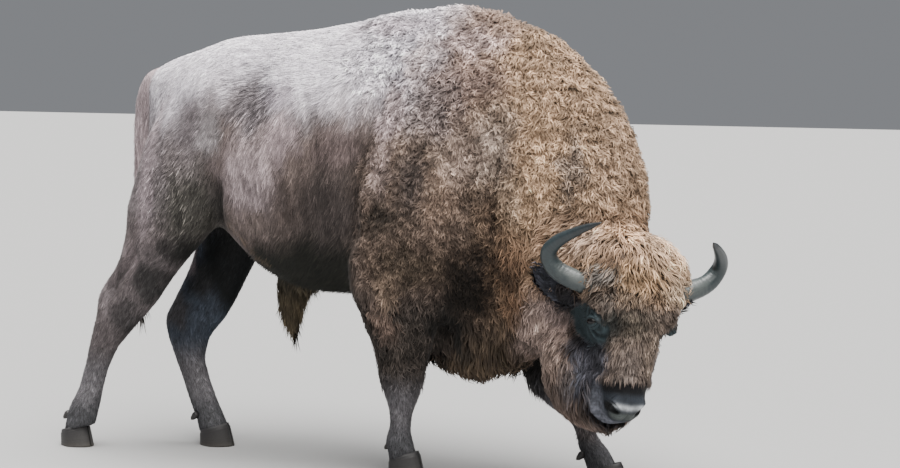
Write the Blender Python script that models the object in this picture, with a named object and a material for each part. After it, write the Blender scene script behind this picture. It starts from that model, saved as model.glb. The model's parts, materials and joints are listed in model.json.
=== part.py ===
"""A European bison bull in mid stride, head lowered and turned to its right, as a life-size still model.

Metres, +Z up. The trunk runs along +X towards the head, the animal's left is +Y, and the
hooves stand on the floor at z = 0. The body is drawn as lofted forms, fused into one skin,
and that skin is parted by thin cuts into the pieces a person would name.
"""

import math

import bmesh
import bpy
from mathutils import Matrix, Vector

# ---- driving sizes -------------------------------------------------------------------------
GAP = 0.0003  # clear space between neighbouring pieces
VOXEL = 0.013  # cell of the remesh that fuses the flesh
SMOOTHING_ROUNDS = 8
FLESH_TRIANGLES = 3050
RING_POINTS = 28  # corners of a lofted trunk ring
LEG_POINTS = 18
LOFT_STEPS = 5  # rings between two stations

HEAD_ORIGIN = Vector((0.950, -0.180, 0.787))  # middle of the line through the horn bases
HEAD_YAW = math.radians(-45)  # turned to the animal's right
HEAD_PITCH = math.radians(5)  # nose ahead of the poll
HEAD_ROLL = math.radians(7)  # crown leaning to the animal's left

EYE_PLACE = (0.151, 0.050, -0.136)  # right eye in the head's own frame
EYE_RADIUS = 0.023

CORONET_HEIGHT = 0.066  # top of a hoof at the middle of the foot
CORONET_SLOPE = 0.30  # how fast that edge falls from toe to heel
CLAW_LENGTH = 0.150
CLAW_WIDTH = 0.056
CLAW_SPLIT = 0.006  # clear space between the two claws of a foot

COLOURS = {
    "coat_brown": ((0.150, 0.105, 0.075), 0.85),
    "coat_warm": ((0.240, 0.150, 0.085), 0.90),
    "coat_dark": ((0.055, 0.040, 0.032), 0.85),
    "muzzle_skin": ((0.045, 0.045, 0.050), 0.45),
    "horn": ((0.200, 0.200, 0.195), 0.40),
    "hoof": ((0.045, 0.042, 0.040), 0.50),
    "eye": ((0.015, 0.010, 0.008), 0.10),
}


# ---- small helpers -------------------------------------------------------------------------
def clear_scene():
    for obj in list(bpy.data.objects):
        bpy.data.objects.remove(obj, do_unlink=True)


def shade(mesh, angle=math.radians(38)):
    """Smooth shading, with the cut edges left crisp."""
    for face in mesh.polygons:
        face.use_smooth = True
    mesh.set_sharp_from_angle(angle=angle)


def own_material(name, finish):
    colour, roughness = COLOURS[finish]
    made = bpy.data.materials.new(name + "_" + finish)
    made.use_nodes = True
    shader = made.node_tree.nodes["Principled BSDF"]
    shader.inputs["Base Color"].default_value = (*colour, 1.0)
    shader.inputs["Roughness"].default_value = roughness
    return made


def new_object(name, mesh, finish=None):
    obj = bpy.data.objects.new(name, mesh)
    bpy.context.scene.collection.objects.link(obj)
    if finish:
        mesh.materials.clear()
        mesh.materials.append(own_material(name, finish))
        shade(mesh)
    return obj


def mix(a, b, share):
    return a + (b - a) * share


def ring(centre, up, side, down=None, points=RING_POINTS, square=2.0, pinch=0.0):
    """Corners of a closed section: up, side and down are its half extents as vectors.
    square above 2 makes it boxier, and pinch narrows its upper half to a ridge."""
    down = -up if down is None else down
    power = 2.0 / square
    corners = []
    for i in range(points):
        angle = 2 * math.pi * i / points
        rise, out = math.cos(angle), math.sin(angle)
        lift = abs(rise) ** power
        reach = math.copysign(abs(out) ** power, out)
        if rise > 0:
            reach *= 1 - pinch * rise**1.5
        corners.append(centre + side * reach + (up if rise > 0 else down) * lift)
    return corners


def curve_through(values, steps=LOFT_STEPS):
    """A Catmull-Rom curve through numbers or vectors, with steps points from each to the next."""
    ends = [values[0] * 2 - values[1], *values, values[-1] * 2 - values[-2]]
    found = []
    for k in range(1, len(ends) - 2):
        a, b, c, d = ends[k - 1 : k + 3]
        for s in range(steps):
            t = s / steps
            found.append(
                (b * 2 + (c - a) * t + (a * 2 - b * 5 + c * 4 - d) * t * t
                 + (b * 3 - a - c * 3 + d) * t**3) * 0.5
            )
    found.append(values[-1])
    return found


def mesh_of(name, bm):
    bmesh.ops.recalc_face_normals(bm, faces=bm.faces)
    mesh = bpy.data.meshes.new(name)
    bm.to_mesh(mesh)
    bm.free()
    return mesh


def loft_mesh(name, rings):
    """A closed skin over the rings, with a cap on each end."""
    bm = bmesh.new()
    loops = [[bm.verts.new(corner) for corner in corners] for corners in rings]
    count = len(loops[0])
    for a, b in zip(loops, loops[1:]):
        for i in range(count):
            j = (i + 1) % count
            bm.faces.new((a[i], a[j], b[j], b[i]))
    bm.faces.new(list(reversed(loops[0])))
    bm.faces.new(loops[-1])
    return mesh_of(name, bm)


def ball_mesh(name, centre, radii, turn=None, segments=20, rows=12):
    """An ellipsoid about centre, turned by the 3x3 matrix turn."""
    bm = bmesh.new()
    bmesh.ops.create_uvsphere(bm, u_segments=segments, v_segments=rows, radius=1.0)
    place = Matrix.Translation(centre) @ (turn.to_4x4() if turn else Matrix.Identity(4))
    bmesh.ops.transform(bm, matrix=place @ Matrix.Diagonal((*radii, 1.0)), verts=bm.verts)
    return mesh_of(name, bm)


def swept_mesh(name, path, radii, points=12, steps=4, flat=1.0, flat_axis=None, grow=0.0):
    """A tapering solid along path. flat squashes it along flat_axis. grow thickens it all
    round, and carries both ends on by as much."""
    spine, girth = curve_through(path, steps), curve_through(radii, steps)
    spine[0] = spine[0] + (spine[0] - spine[1]).normalized() * grow
    spine[-1] = spine[-1] + (spine[-1] - spine[-2]).normalized() * grow
    rings = []
    last_side = None
    for i, centre in enumerate(spine):
        ahead = (spine[min(i + 1, len(spine) - 1)] - spine[max(i - 1, 0)]).normalized()
        if flat_axis:
            thin = (flat_axis - ahead * ahead.dot(flat_axis)).normalized()
        else:
            hint = last_side or (Vector((0, 0, 1)) if abs(ahead.z) < 0.9 else Vector((1, 0, 0)))
            thin = (hint - ahead * ahead.dot(hint)).normalized()
            last_side = thin
        wide = ahead.cross(thin)
        rings.append(ring(centre, thin * (girth[i] * flat + grow), wide * (girth[i] + grow),
                          points=points))
    return loft_mesh(name, rings)


# ---- the head's own frame ------------------------------------------------------------------
def head_frame():
    """Local x is the animal's right, y is out of the face, z is from the nose to the crown."""
    facing = Vector((math.cos(HEAD_YAW), math.sin(HEAD_YAW), 0))
    crown = Vector((0, 0, math.cos(HEAD_PITCH))) - facing * math.sin(HEAD_PITCH)
    face = facing * math.cos(HEAD_PITCH) + Vector((0, 0, math.sin(HEAD_PITCH)))
    right = face.cross(crown)
    turn = Matrix((right, face, crown)).transposed()
    turn = Matrix.Rotation(-HEAD_ROLL, 3, face) @ turn
    return Matrix.Translation(HEAD_ORIGIN) @ turn.to_4x4()


HEAD = head_frame()
HEAD_TURN = HEAD.to_3x3()


def in_head(x, y, z):
    return HEAD @ Vector((x, y, z))


# ---- flesh: trunk and neck -----------------------------------------------------------------
def body_station(x, top, belly, half_width, low_x=None, widest=0.48, pinch=0.2, square=2.3,
                 y=0.0, yaw=0.0):
    """A trunk section from its top at x to its underside at low_x, turned by yaw."""
    high = Vector((x, y, top))
    low = Vector((x if low_x is None else low_x, y, belly))
    centre = mix(high, low, widest)
    side = Vector((math.sin(yaw), -math.cos(yaw), 0)) * half_width
    return {"centre": centre, "up": high - centre, "down": low - centre, "side": side,
            "pinch": pinch, "square": square}


def loft_through(name, stations, points):
    """A loft through stations, with every value of a station on a smooth curve."""
    columns = {key: curve_through([s[key] for s in stations]) for key in stations[0]}
    rings = [
        ring(points=points, **{key: column[i] for key, column in columns.items()})
        for i in range(len(columns["centre"]))
    ]
    return loft_mesh(name, rings)


TRUNK = [
    body_station(-1.250, 1.440, 1.080, 0.060, pinch=0.0),
    body_station(-1.190, 1.520, 1.020, 0.120, pinch=0.1),
    body_station(-1.100, 1.565, 0.950, 0.185, pinch=0.20),
    body_station(-0.980, 1.600, 0.915, 0.240, pinch=0.30),
    body_station(-0.820, 1.648, 0.880, 0.280, pinch=0.30, widest=0.52),
    body_station(-0.640, 1.664, 0.745, 0.315, pinch=0.25, widest=0.56),
    body_station(-0.450, 1.680, 0.675, 0.345, pinch=0.28, widest=0.58),
    body_station(-0.250, 1.712, 0.670, 0.350, pinch=0.36, widest=0.60),
    body_station(-0.070, 1.748, 0.645, 0.330, pinch=0.46, widest=0.58),
    body_station(0.120, 1.770, 0.580, 0.315, pinch=0.50, widest=0.56),
    body_station(0.280, 1.762, 0.510, 0.300, pinch=0.46, widest=0.54),
    body_station(0.400, 1.712, 0.500, 0.270, pinch=0.44, widest=0.52),
    body_station(0.500, 1.560, 0.560, 0.190, pinch=0.40, widest=0.50),
]

NECK = [
    body_station(0.250, 1.715, 0.560, 0.280, pinch=0.46, widest=0.52),
    body_station(0.450, 1.708, 0.500, 0.278, pinch=0.44, widest=0.52),
    body_station(0.635, 1.605, 0.490, 0.268, low_x=0.520, pinch=0.40, widest=0.50, y=-0.015, yaw=-0.08),
    body_station(0.770, 1.475, 0.500, 0.250, low_x=0.590, pinch=0.32, widest=0.48, y=-0.035, yaw=-0.18),
    body_station(0.855, 1.330, 0.520, 0.225, low_x=0.640, pinch=0.26, widest=0.46, y=-0.060, yaw=-0.30),
    body_station(0.895, 1.185, 0.550, 0.200, low_x=0.680, pinch=0.20, widest=0.46, y=-0.090, yaw=-0.42),
    body_station(0.903, 1.060, 0.590, 0.175, low_x=0.710, pinch=0.10, widest=0.46, y=-0.120, yaw=-0.52),
    body_station(0.895, 0.960, 0.640, 0.140, low_x=0.760, pinch=0.00, widest=0.46, y=-0.140, yaw=-0.60),
]

# the hair that hangs under the chest and throat
MANE = [
    body_station(-0.060, 0.660, 0.560, 0.050, pinch=0.0, square=2.0),
    body_station(0.050, 0.700, 0.435, 0.105, pinch=0.0, square=2.0),
    body_station(0.250, 0.720, 0.372, 0.120, pinch=0.0, square=2.0),
    body_station(0.380, 0.740, 0.410, 0.115, pinch=0.0, square=2.0, y=-0.010),
    body_station(0.500, 0.760, 0.470, 0.105, pinch=0.0, square=2.0, y=-0.025),
    body_station(0.600, 0.780, 0.530, 0.080, pinch=0.0, square=2.0, y=-0.040),
]


# ---- flesh: legs ---------------------------------------------------------------------------
def leg_station(x, y, z, fore_aft, lateral):
    return {"centre": Vector((x, y, z)), "up": Vector((fore_aft, 0, 0)),
            "side": Vector((0, lateral, 0)), "square": 2.0}


FORELEG_RIGHT = [
    leg_station(0.080, -0.160, 1.440, 0.120, 0.060),
    leg_station(0.100, -0.200, 1.270, 0.215, 0.115),
    leg_station(0.105, -0.235, 1.080, 0.255, 0.130),
    leg_station(0.075, -0.250, 0.930, 0.235, 0.130),
    leg_station(0.052, -0.245, 0.820, 0.195, 0.122),
    leg_station(0.044, -0.232, 0.700, 0.170, 0.112),
    leg_station(0.045, -0.215, 0.600, 0.143, 0.102),
    leg_station(0.032, -0.190, 0.510, 0.122, 0.090),
    leg_station(0.018, -0.168, 0.440, 0.110, 0.080),
    leg_station(0.004, -0.145, 0.350, 0.088, 0.068),
    leg_station(-0.004, -0.130, 0.300, 0.072, 0.058),
    leg_station(-0.014, -0.120, 0.250, 0.053, 0.044),
    leg_station(-0.024, -0.110, 0.190, 0.047, 0.038),
    leg_station(-0.034, -0.100, 0.130, 0.060, 0.052),
    leg_station(-0.026, -0.090, 0.085, 0.062, 0.055),
    leg_station(-0.020, -0.085, 0.025, 0.066, 0.058),
]

FORELEG_LEFT = [
    leg_station(0.130, 0.160, 1.420, 0.120, 0.060),
    leg_station(0.170, 0.195, 1.250, 0.210, 0.115),
    leg_station(0.220, 0.220, 1.060, 0.235, 0.125),
    leg_station(0.280, 0.215, 0.900, 0.205, 0.120),
    leg_station(0.340, 0.190, 0.780, 0.185, 0.110),
    leg_station(0.392, 0.172, 0.660, 0.168, 0.100),
    leg_station(0.445, 0.155, 0.550, 0.150, 0.090),
    leg_station(0.490, 0.135, 0.440, 0.137, 0.078),
    leg_station(0.538, 0.118, 0.340, 0.115, 0.070),
    leg_station(0.578, 0.108, 0.275, 0.088, 0.058),
    leg_station(0.627, 0.098, 0.230, 0.056, 0.045),
    leg_station(0.657, 0.090, 0.180, 0.049, 0.040),
    leg_station(0.687, 0.083, 0.125, 0.062, 0.052),
    leg_station(0.714, 0.076, 0.085, 0.062, 0.055),
    leg_station(0.740, 0.072, 0.025, 0.066, 0.058),
]

HINDLEG_RIGHT = [
    leg_station(-0.900, -0.120, 1.440, 0.160, 0.070),
    leg_station(-0.900, -0.165, 1.280, 0.225, 0.120),
    leg_station(-0.930, -0.185, 1.120, 0.235, 0.130),
    leg_station(-0.980, -0.200, 0.980, 0.220, 0.128),
    leg_station(-1.005, -0.205, 0.900, 0.196, 0.118),
    leg_station(-1.045, -0.207, 0.830, 0.172, 0.106),
    leg_station(-1.104, -0.209, 0.745, 0.148, 0.090),
    leg_station(-1.175, -0.209, 0.660, 0.150, 0.078),
    leg_station(-1.208, -0.209, 0.605, 0.143, 0.074),
    leg_station(-1.243, -0.208, 0.545, 0.116, 0.068),
    leg_station(-1.286, -0.207, 0.482, 0.094, 0.060),
    leg_station(-1.338, -0.206, 0.398, 0.069, 0.045),
    leg_station(-1.374, -0.205, 0.306, 0.059, 0.038),
    leg_station(-1.402, -0.204, 0.231, 0.062, 0.040),
    leg_station(-1.432, -0.203, 0.165, 0.072, 0.050),
    leg_station(-1.448, -0.202, 0.120, 0.072, 0.054),
    leg_station(-1.460, -0.201, 0.080, 0.068, 0.056),
    leg_station(-1.470, -0.200, 0.025, 0.068, 0.058),
]

HINDLEG_LEFT = [
    leg_station(-0.890, 0.120, 1.440, 0.160, 0.070),
    leg_station(-0.880, 0.165, 1.280, 0.225, 0.120),
    leg_station(-0.890, 0.185, 1.120, 0.230, 0.130),
    leg_station(-0.920, 0.195, 0.980, 0.210, 0.128),
    leg_station(-0.945, 0.190, 0.880, 0.180, 0.115),
    leg_station(-0.985, 0.178, 0.790, 0.155, 0.100),
    leg_station(-1.020, 0.166, 0.705, 0.146, 0.088),
    leg_station(-1.066, 0.151, 0.610, 0.147, 0.080),
    leg_station(-1.098, 0.142, 0.550, 0.150, 0.074),
    leg_station(-1.128, 0.132, 0.492, 0.142, 0.068),
    leg_station(-1.146, 0.122, 0.434, 0.108, 0.060),
    leg_station(-1.133, 0.108, 0.346, 0.075, 0.047),
    leg_station(-1.092, 0.096, 0.252, 0.068, 0.042),
    leg_station(-1.055, 0.088, 0.180, 0.068, 0.048),
    leg_station(-1.020, 0.080, 0.115, 0.068, 0.054),
    leg_station(-0.998, 0.075, 0.075, 0.068, 0.056),
    leg_station(-0.985, 0.070, 0.025, 0.068, 0.058),
]

LEGS = {
    "foreleg_right": FORELEG_RIGHT,
    "foreleg_left": FORELEG_LEFT,
    "hindleg_right": HINDLEG_RIGHT,
    "hindleg_left": HINDLEG_LEFT,
}

# where each foot stands, and which way its toes point
FEET = {
    "fore_right": (-0.010, -0.085, -0.10),
    "fore_left": (0.752, 0.072, 0.00),
    "hind_right": (-1.472, -0.200, -0.10),
    "hind_left": (-0.975, 0.070, 0.05),
}


# ---- flesh: head ---------------------------------------------------------------------------
def head_station(z, front, back, half_width, widest=0.5, square=2.4, pinch=0.0, aside=0.0):
    """A section across the skull at height z of the head's frame, from the face to the jaw."""
    high, low = Vector((aside, front, z)), Vector((aside, back, z))
    centre = mix(high, low, widest)
    return {"centre": HEAD @ centre, "up": HEAD_TURN @ (high - centre),
            "down": HEAD_TURN @ (low - centre), "side": HEAD_TURN @ Vector((half_width, 0, 0)),
            "pinch": pinch, "square": square}


SKULL = [
    head_station(0.150, -0.050, -0.170, 0.090),
    head_station(0.100, 0.010, -0.210, 0.150),
    head_station(0.040, 0.070, -0.240, 0.175),
    head_station(-0.050, 0.098, -0.260, 0.172, square=3.0),
    head_station(-0.120, 0.100, -0.275, 0.163, widest=0.52, square=3.0),
    head_station(-0.200, 0.092, -0.280, 0.138, widest=0.52, square=2.8),
    head_station(-0.270, 0.086, -0.265, 0.118, widest=0.50, square=2.6),
    head_station(-0.330, 0.083, -0.225, 0.101, widest=0.50, square=2.6),
    head_station(-0.380, 0.080, -0.180, 0.082),
    head_station(-0.420, 0.078, -0.140, 0.072),
    head_station(-0.455, 0.062, -0.110, 0.064),
    head_station(-0.480, 0.030, -0.080, 0.046),
]

# the long hair of the cheeks, jaw and chin
BEARD = [
    head_station(-0.080, -0.120, -0.380, 0.135, square=2.0, aside=0.005),
    head_station(-0.180, -0.100, -0.430, 0.200, square=2.0, aside=0.015),
    head_station(-0.290, -0.070, -0.405, 0.202, square=2.0, aside=0.030),
    head_station(-0.370, -0.055, -0.370, 0.186, square=2.0, aside=0.036),
    head_station(-0.440, -0.050, -0.335, 0.154, square=2.0, aside=0.034),
    head_station(-0.495, -0.060, -0.280, 0.106, square=2.0, aside=0.026),
    head_station(-0.525, -0.090, -0.220, 0.040, square=2.0, aside=0.018),
]

# centre and radii in the head's frame: the mop on the crown, brows, nostrils and chin
HEAD_BALLS = [
    ("crown", (0.000, -0.020, 0.035), (0.222, 0.140, 0.158)),
    ("orbit_right", (0.116, 0.030, -0.126), (0.058, 0.056, 0.056)),
    ("orbit_left", (-0.116, 0.030, -0.126), (0.058, 0.056, 0.056)),
    ("nostril_right", (0.036, 0.034, -0.418), (0.036, 0.044, 0.036)),
    ("nostril_left", (-0.036, 0.034, -0.418), (0.036, 0.044, 0.036)),
    ("chin", (0.000, -0.040, -0.468), (0.052, 0.062, 0.026)),
]

HORN_PATH = [(0.100, -0.005, -0.030), (0.206, 0.002, -0.004), (0.288, -0.024, 0.040),
             (0.325, -0.020, 0.100), (0.306, 0.032, 0.140), (0.256, 0.108, 0.166),
             (0.210, 0.180, 0.178)]
HORN_RADII = [0.039, 0.037, 0.033, 0.028, 0.022, 0.014, 0.003]

EAR_PATH = [(0.130, -0.070, -0.055), (0.185, -0.092, -0.052), (0.240, -0.120, -0.030),
            (0.290, -0.150, 0.010), (0.315, -0.165, 0.040)]
EAR_RADII = [0.026, 0.042, 0.046, 0.034, 0.006]

TAIL_PATH = [Vector(p) for p in ((-1.140, 0, 1.500), (-1.218, 0, 1.474), (-1.266, 0, 1.390),
                                 (-1.286, 0, 1.230), (-1.294, 0, 1.050), (-1.300, 0, 0.900))]
TAIL_RADII = [0.040, 0.045, 0.038, 0.032, 0.028, 0.026]

TUFT_PATH = [Vector(p) for p in ((-1.300, 0, 0.8995), (-1.303, 0, 0.820), (-1.305, 0, 0.730),
                                 (-1.302, 0, 0.640), (-1.298, 0, 0.590))]
TUFT_RADII = [0.028, 0.042, 0.044, 0.028, 0.004]

SHEATH_PATH = [Vector(p) for p in ((-0.560, 0, 0.760), (-0.570, 0, 0.660), (-0.572, 0, 0.600),
                                   (-0.565, 0, 0.530), (-0.560, 0, 0.480))]
SHEATH_RADII = [0.080, 0.062, 0.045, 0.026, 0.004]


# ---- fusing --------------------------------------------------------------------------------
def flesh_forms():
    meshes = [
        loft_through("trunk_form", TRUNK, RING_POINTS),
        loft_through("neck_form", NECK, RING_POINTS),
        loft_through("mane_form", MANE, RING_POINTS),
        loft_through("skull_form", SKULL, RING_POINTS),
        loft_through("beard_form", BEARD, RING_POINTS),
    ]
    meshes += [loft_through(name + "_form", leg, LEG_POINTS) for name, leg in LEGS.items()]
    meshes += [
        ball_mesh(name, in_head(*centre), radii, HEAD_TURN) for name, centre, radii in HEAD_BALLS
    ]
    return meshes


def joined(name, meshes):
    bm = bmesh.new()
    for mesh in meshes:
        bm.from_mesh(mesh)
    made = bpy.data.meshes.new(name)
    bm.to_mesh(made)
    bm.free()
    return made


def evaluated_mesh(obj):
    bpy.context.view_layer.update()
    graph = bpy.context.evaluated_depsgraph_get()
    return bpy.data.meshes.new_from_object(obj.evaluated_get(graph), depsgraph=graph)


def triangle_count(mesh):
    return sum(len(face.vertices) - 2 for face in mesh.polygons)


def fused_flesh():
    """One smooth closed skin round all the flesh forms."""
    source = new_object("flesh_forms", joined("flesh_forms", flesh_forms()))
    remesh = source.modifiers.new("fuse", "REMESH")
    remesh.mode = "VOXEL"
    remesh.voxel_size = VOXEL
    smooth = source.modifiers.new("smooth", "SMOOTH")
    smooth.factor = 0.5
    smooth.iterations = SMOOTHING_ROUNDS
    fine = evaluated_mesh(source)
    bpy.data.objects.remove(source)
    body = new_object("flesh", fine)
    reduce = body.modifiers.new("reduce", "DECIMATE")
    reduce.ratio = FLESH_TRIANGLES / triangle_count(fine)
    coarse = evaluated_mesh(body)
    bpy.data.objects.remove(body)
    return coarse


# ---- parting -------------------------------------------------------------------------------
def tidied(mesh):
    """Closed up: no doubled corners, no slivers, triangles only."""
    bm = bmesh.new()
    bm.from_mesh(mesh)
    bmesh.ops.remove_doubles(bm, verts=bm.verts, dist=2e-5)
    bmesh.ops.dissolve_degenerate(bm, edges=bm.edges, dist=2e-5)
    bmesh.ops.triangulate(bm, faces=bm.faces)
    return mesh_of(mesh.name, bm)


def boolean(mesh, cutter, operation):
    """The mesh that is left of two closed meshes."""
    a, b = new_object("a", mesh), new_object("b", cutter)
    cut = a.modifiers.new("cut", "BOOLEAN")
    cut.operation = operation
    cut.object = b
    cut.solver = "EXACT"
    result = evaluated_mesh(a)
    bpy.data.objects.remove(a)
    bpy.data.objects.remove(b)
    return tidied(result)


def box_mesh(place, low, high, grow=0.0):
    """A box from low to high in the frame place, grown all round."""
    bm = bmesh.new()
    bmesh.ops.create_cube(bm, size=1.0)
    low, high = Vector(low) - Vector((grow,) * 3), Vector(high) + Vector((grow,) * 3)
    size = Matrix.Diagonal((*(high - low), 1.0))
    bmesh.ops.transform(bm, matrix=place @ Matrix.Translation((low + high) / 2) @ size, verts=bm.verts)
    return mesh_of("box", bm)


def world_box(low, high):
    return (Matrix.Identity(4), low, high)


def tilted_box(x, z, degrees, low, high):
    """A box about (x, 0, z), turned about the y axis."""
    return (Matrix.Translation((x, 0, z)) @ Matrix.Rotation(math.radians(degrees), 4, "Y"), low, high)


def head_box(low, high, degrees=0.0, about=(0, 0, 0)):
    turn = Matrix.Translation(about) @ Matrix.Rotation(math.radians(degrees), 4, "X")
    return (HEAD @ turn, low, high)


# name, finish and box, in the order they are cut off; what stays at the end is the trunk
FLESH_PIECES = [
    ("foreleg_right_lower", "coat_dark", world_box((-0.25, -0.40, -0.1), (0.25, 0.02, 0.305))),
    ("foreleg_left_lower", "coat_dark", world_box((0.42, -0.04, -0.1), (0.95, 0.25, 0.262))),
    ("hindleg_right_lower", "coat_dark", world_box((-1.7, -0.40, -0.1), (-1.1, -0.05, 0.520))),
    ("hindleg_left_lower", "coat_dark", world_box((-1.4, -0.02, -0.1), (-0.8, 0.35, 0.430))),
    ("foreleg_right", "coat_brown", world_box((-0.25, -0.45, -0.1), (0.200, -0.116, 0.600))),
    ("foreleg_left", "coat_dark", tilted_box(0.48, 0.435, -22, (-0.26, 0.045, -0.5), (0.132, 0.40, -0.055))),
    ("hindleg_right", "coat_brown", tilted_box(-1.0, 0.90, 12, (-0.5, -0.45, -0.6), (0.20, -0.02, 0.0))),
    ("hindleg_left", "coat_dark", tilted_box(-0.94, 0.87, 8, (-0.5, 0.02, -0.6), (0.165, 0.45, 0.0))),
    ("muzzle", "muzzle_skin", head_box((-0.14, -0.060, -0.60), (0.14, 0.20, -0.372))),
    ("beard", "coat_brown", head_box((-0.24, -0.430, -0.60), (0.30, -0.0603, -0.305))),
    ("head", "coat_brown", head_box((-0.40, 0.0, -0.58), (0.40, 0.60, 0.15), -22, (0, -0.105, 0.10))),
    ("neck", "coat_warm", tilted_box(0.43, 1.10, -8, (0.0, -0.6, -1.0), (0.9, 0.6, 0.9))),
]


def part_flesh(flesh):
    """The flesh, cut into its named pieces."""
    pieces = {}
    for name, finish, (place, low, high) in FLESH_PIECES:
        pieces[name] = (boolean(flesh.copy(), box_mesh(place, low, high), "INTERSECT"), finish)
        flesh = boolean(flesh, box_mesh(place, low, high, GAP), "DIFFERENCE")
    pieces["trunk"] = (flesh, "coat_brown")
    return pieces


# ---- hard parts ----------------------------------------------------------------------------
def mirrored(point, side):
    """side is 1 on the animal's right and -1 on its left."""
    return in_head(point[0] * side, point[1], point[2])


def horn_mesh(side, grow=0.0):
    return swept_mesh("horn", [mirrored(p, side) for p in HORN_PATH], HORN_RADII, points=10, steps=3, grow=grow)


def ear_mesh(side, grow=0.0):
    thin = HEAD_TURN @ Vector((0.35 * side, 0.75, -0.45))
    return swept_mesh("ear", [mirrored(p, side) for p in EAR_PATH], EAR_RADII, points=10, steps=2,
                      flat=0.42, flat_axis=thin, grow=grow)


def eye_mesh(side, grow=0.0):
    radius = EYE_RADIUS + grow
    return ball_mesh("eye", mirrored(EYE_PLACE, side), (radius,) * 3, HEAD_TURN, 14, 8)


def foot_frame(foot):
    x, y, turn = FEET[foot]
    return Matrix.Translation((x, y, 0)) @ Matrix.Rotation(turn, 4, "Z")


def claw_mesh(foot, side):
    """One claw: flat inner wall and sole, rounded toe, and a top that falls to the heel."""
    place = foot_frame(foot)
    inner = CLAW_SPLIT / 2
    rings = []
    for height, length, width, shift in ((0.0, 1.0, 1.0, 0.0), (0.35, 0.97, 0.99, -0.004),
                                         (1.0, 0.84, 0.94, -0.012)):
        corners = []
        for i in range(14):
            angle = 2 * math.pi * i / 14
            along, out = math.cos(angle), math.sin(angle)
            along = math.copysign(abs(along) ** 0.85, along)
            # the outer wall bows, the inner wall stays straight, and the toe draws in
            across = (out if out > 0 else 0.0) * (1.0 - 0.18 * max(along, 0.0) ** 2)
            x = along * CLAW_LENGTH / 2 * length + shift
            y = side * (inner + (0.16 * (1 - abs(along)) if out > 0 else 0.0) * CLAW_WIDTH
                        + across * CLAW_WIDTH * width * 0.84)
            top = CORONET_HEIGHT + CORONET_SLOPE * x - GAP
            corners.append(place @ Vector((x, y, top * height)))
        rings.append(corners)
    bm = bmesh.new()
    loops = [[bm.verts.new(c) for c in corners] for corners in rings]
    count = len(loops[0])
    for a, b in zip(loops, loops[1:]):
        for i in range(count):
            j = (i + 1) % count
            bm.faces.new((a[i], a[j], b[j], b[i]))
    bm.faces.new(loops[0])
    bm.faces.new(loops[-1])
    bmesh.ops.remove_doubles(bm, verts=bm.verts, dist=1e-6)
    bmesh.ops.triangulate(bm, faces=bm.faces)
    return mesh_of("claw", bm)


def below_coronet(foot):
    """Everything under the slanted top of a foot's claws."""
    slope = Matrix.Rotation(-math.atan(CORONET_SLOPE), 4, "Y")
    place = foot_frame(foot) @ Matrix.Translation((0, 0, CORONET_HEIGHT)) @ slope
    return box_mesh(place, (-0.16, -0.14, -0.20), (0.16, 0.14, 0.0))


# how far behind the middle of the foot the dewclaws sit, and how high
DEWCLAWS = {"fore_right": (-0.068, 0.112), "fore_left": (-0.104, 0.112),
            "hind_right": (-0.034, 0.128), "hind_left": (-0.094, 0.118)}


def dewclaw_mesh(foot, side, grow=0.0):
    back, height = DEWCLAWS[foot]
    place = foot_frame(foot)
    path = [place @ Vector((back + 0.022, side * 0.022, height + 0.010)),
            place @ Vector((back, side * 0.026, height)),
            place @ Vector((back - 0.016, side * 0.028, height - 0.020))]
    return swept_mesh("dewclaw", path, [0.013, 0.015, 0.006], points=8, steps=1, grow=grow)


# ---- the model -----------------------------------------------------------------------------
clear_scene()
flesh = fused_flesh()

hard = {}  # node name: (mesh, finish)
sockets = []  # the same forms a gap larger, taken out of the flesh
for side, word in ((1, "right"), (-1, "left")):
    hard["horn_" + word] = (horn_mesh(side), "horn")
    hard["ear_" + word] = (ear_mesh(side), "coat_dark")
    hard["eye_" + word] = (eye_mesh(side), "eye")
    sockets += [horn_mesh(side, GAP), ear_mesh(side, 2 * GAP), eye_mesh(side, GAP)]
for foot in FEET:
    sockets.append(below_coronet(foot))
    for side, word in ((-1, "outer" if "right" in foot else "inner"),
                       (1, "inner" if "right" in foot else "outer")):
        hard["claw_" + foot + "_" + word] = (claw_mesh(foot, side), "hoof")
        hard["dewclaw_" + foot + "_" + word] = (dewclaw_mesh(foot, side), "hoof")
        sockets.append(dewclaw_mesh(foot, side, GAP))
hard["tail"] = (swept_mesh("tail", TAIL_PATH, TAIL_RADII, points=10, steps=2), "coat_brown")
hard["tail_tuft"] = (swept_mesh("tuft", TUFT_PATH, TUFT_RADII, points=10, steps=2), "coat_dark")
hard["sheath_tuft"] = (swept_mesh("sheath", SHEATH_PATH, SHEATH_RADII, points=10, steps=2), "coat_dark")
sockets.append(swept_mesh("tail", TAIL_PATH, TAIL_RADII, points=10, steps=2, grow=GAP))
sockets.append(swept_mesh("tuft", TUFT_PATH, TUFT_RADII, points=10, steps=2, grow=GAP))
sockets.append(swept_mesh("sheath", SHEATH_PATH, SHEATH_RADII, points=10, steps=2, grow=GAP))

for socket in sockets:
    flesh = boolean(flesh, socket, "DIFFERENCE")

pieces = part_flesh(flesh)
pieces.update(hard)

objects = [new_object(name, tidied(mesh), finish) for name, (mesh, finish) in pieces.items()]

# the middle of the whole model's footprint goes to the origin
corners = [v.co for obj in objects for v in obj.data.vertices]
middle = [(min(c[i] for c in corners) + max(c[i] for c in corners)) / 2 for i in (0, 1)]
SHIFT_DONE = Vector((-middle[0], -middle[1], 0))
for obj in objects:
    obj.data.transform(Matrix.Translation(SHIFT_DONE))
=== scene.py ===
# European bison bull, standing still with its head low.
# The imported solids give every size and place. This script dresses them with one skin,
# tufts of coat, horns, ears, eyes, muzzle and hooves.
import json
import math
import bmesh
import bpy
import numpy as np
from mathutils import Matrix, Vector

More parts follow.
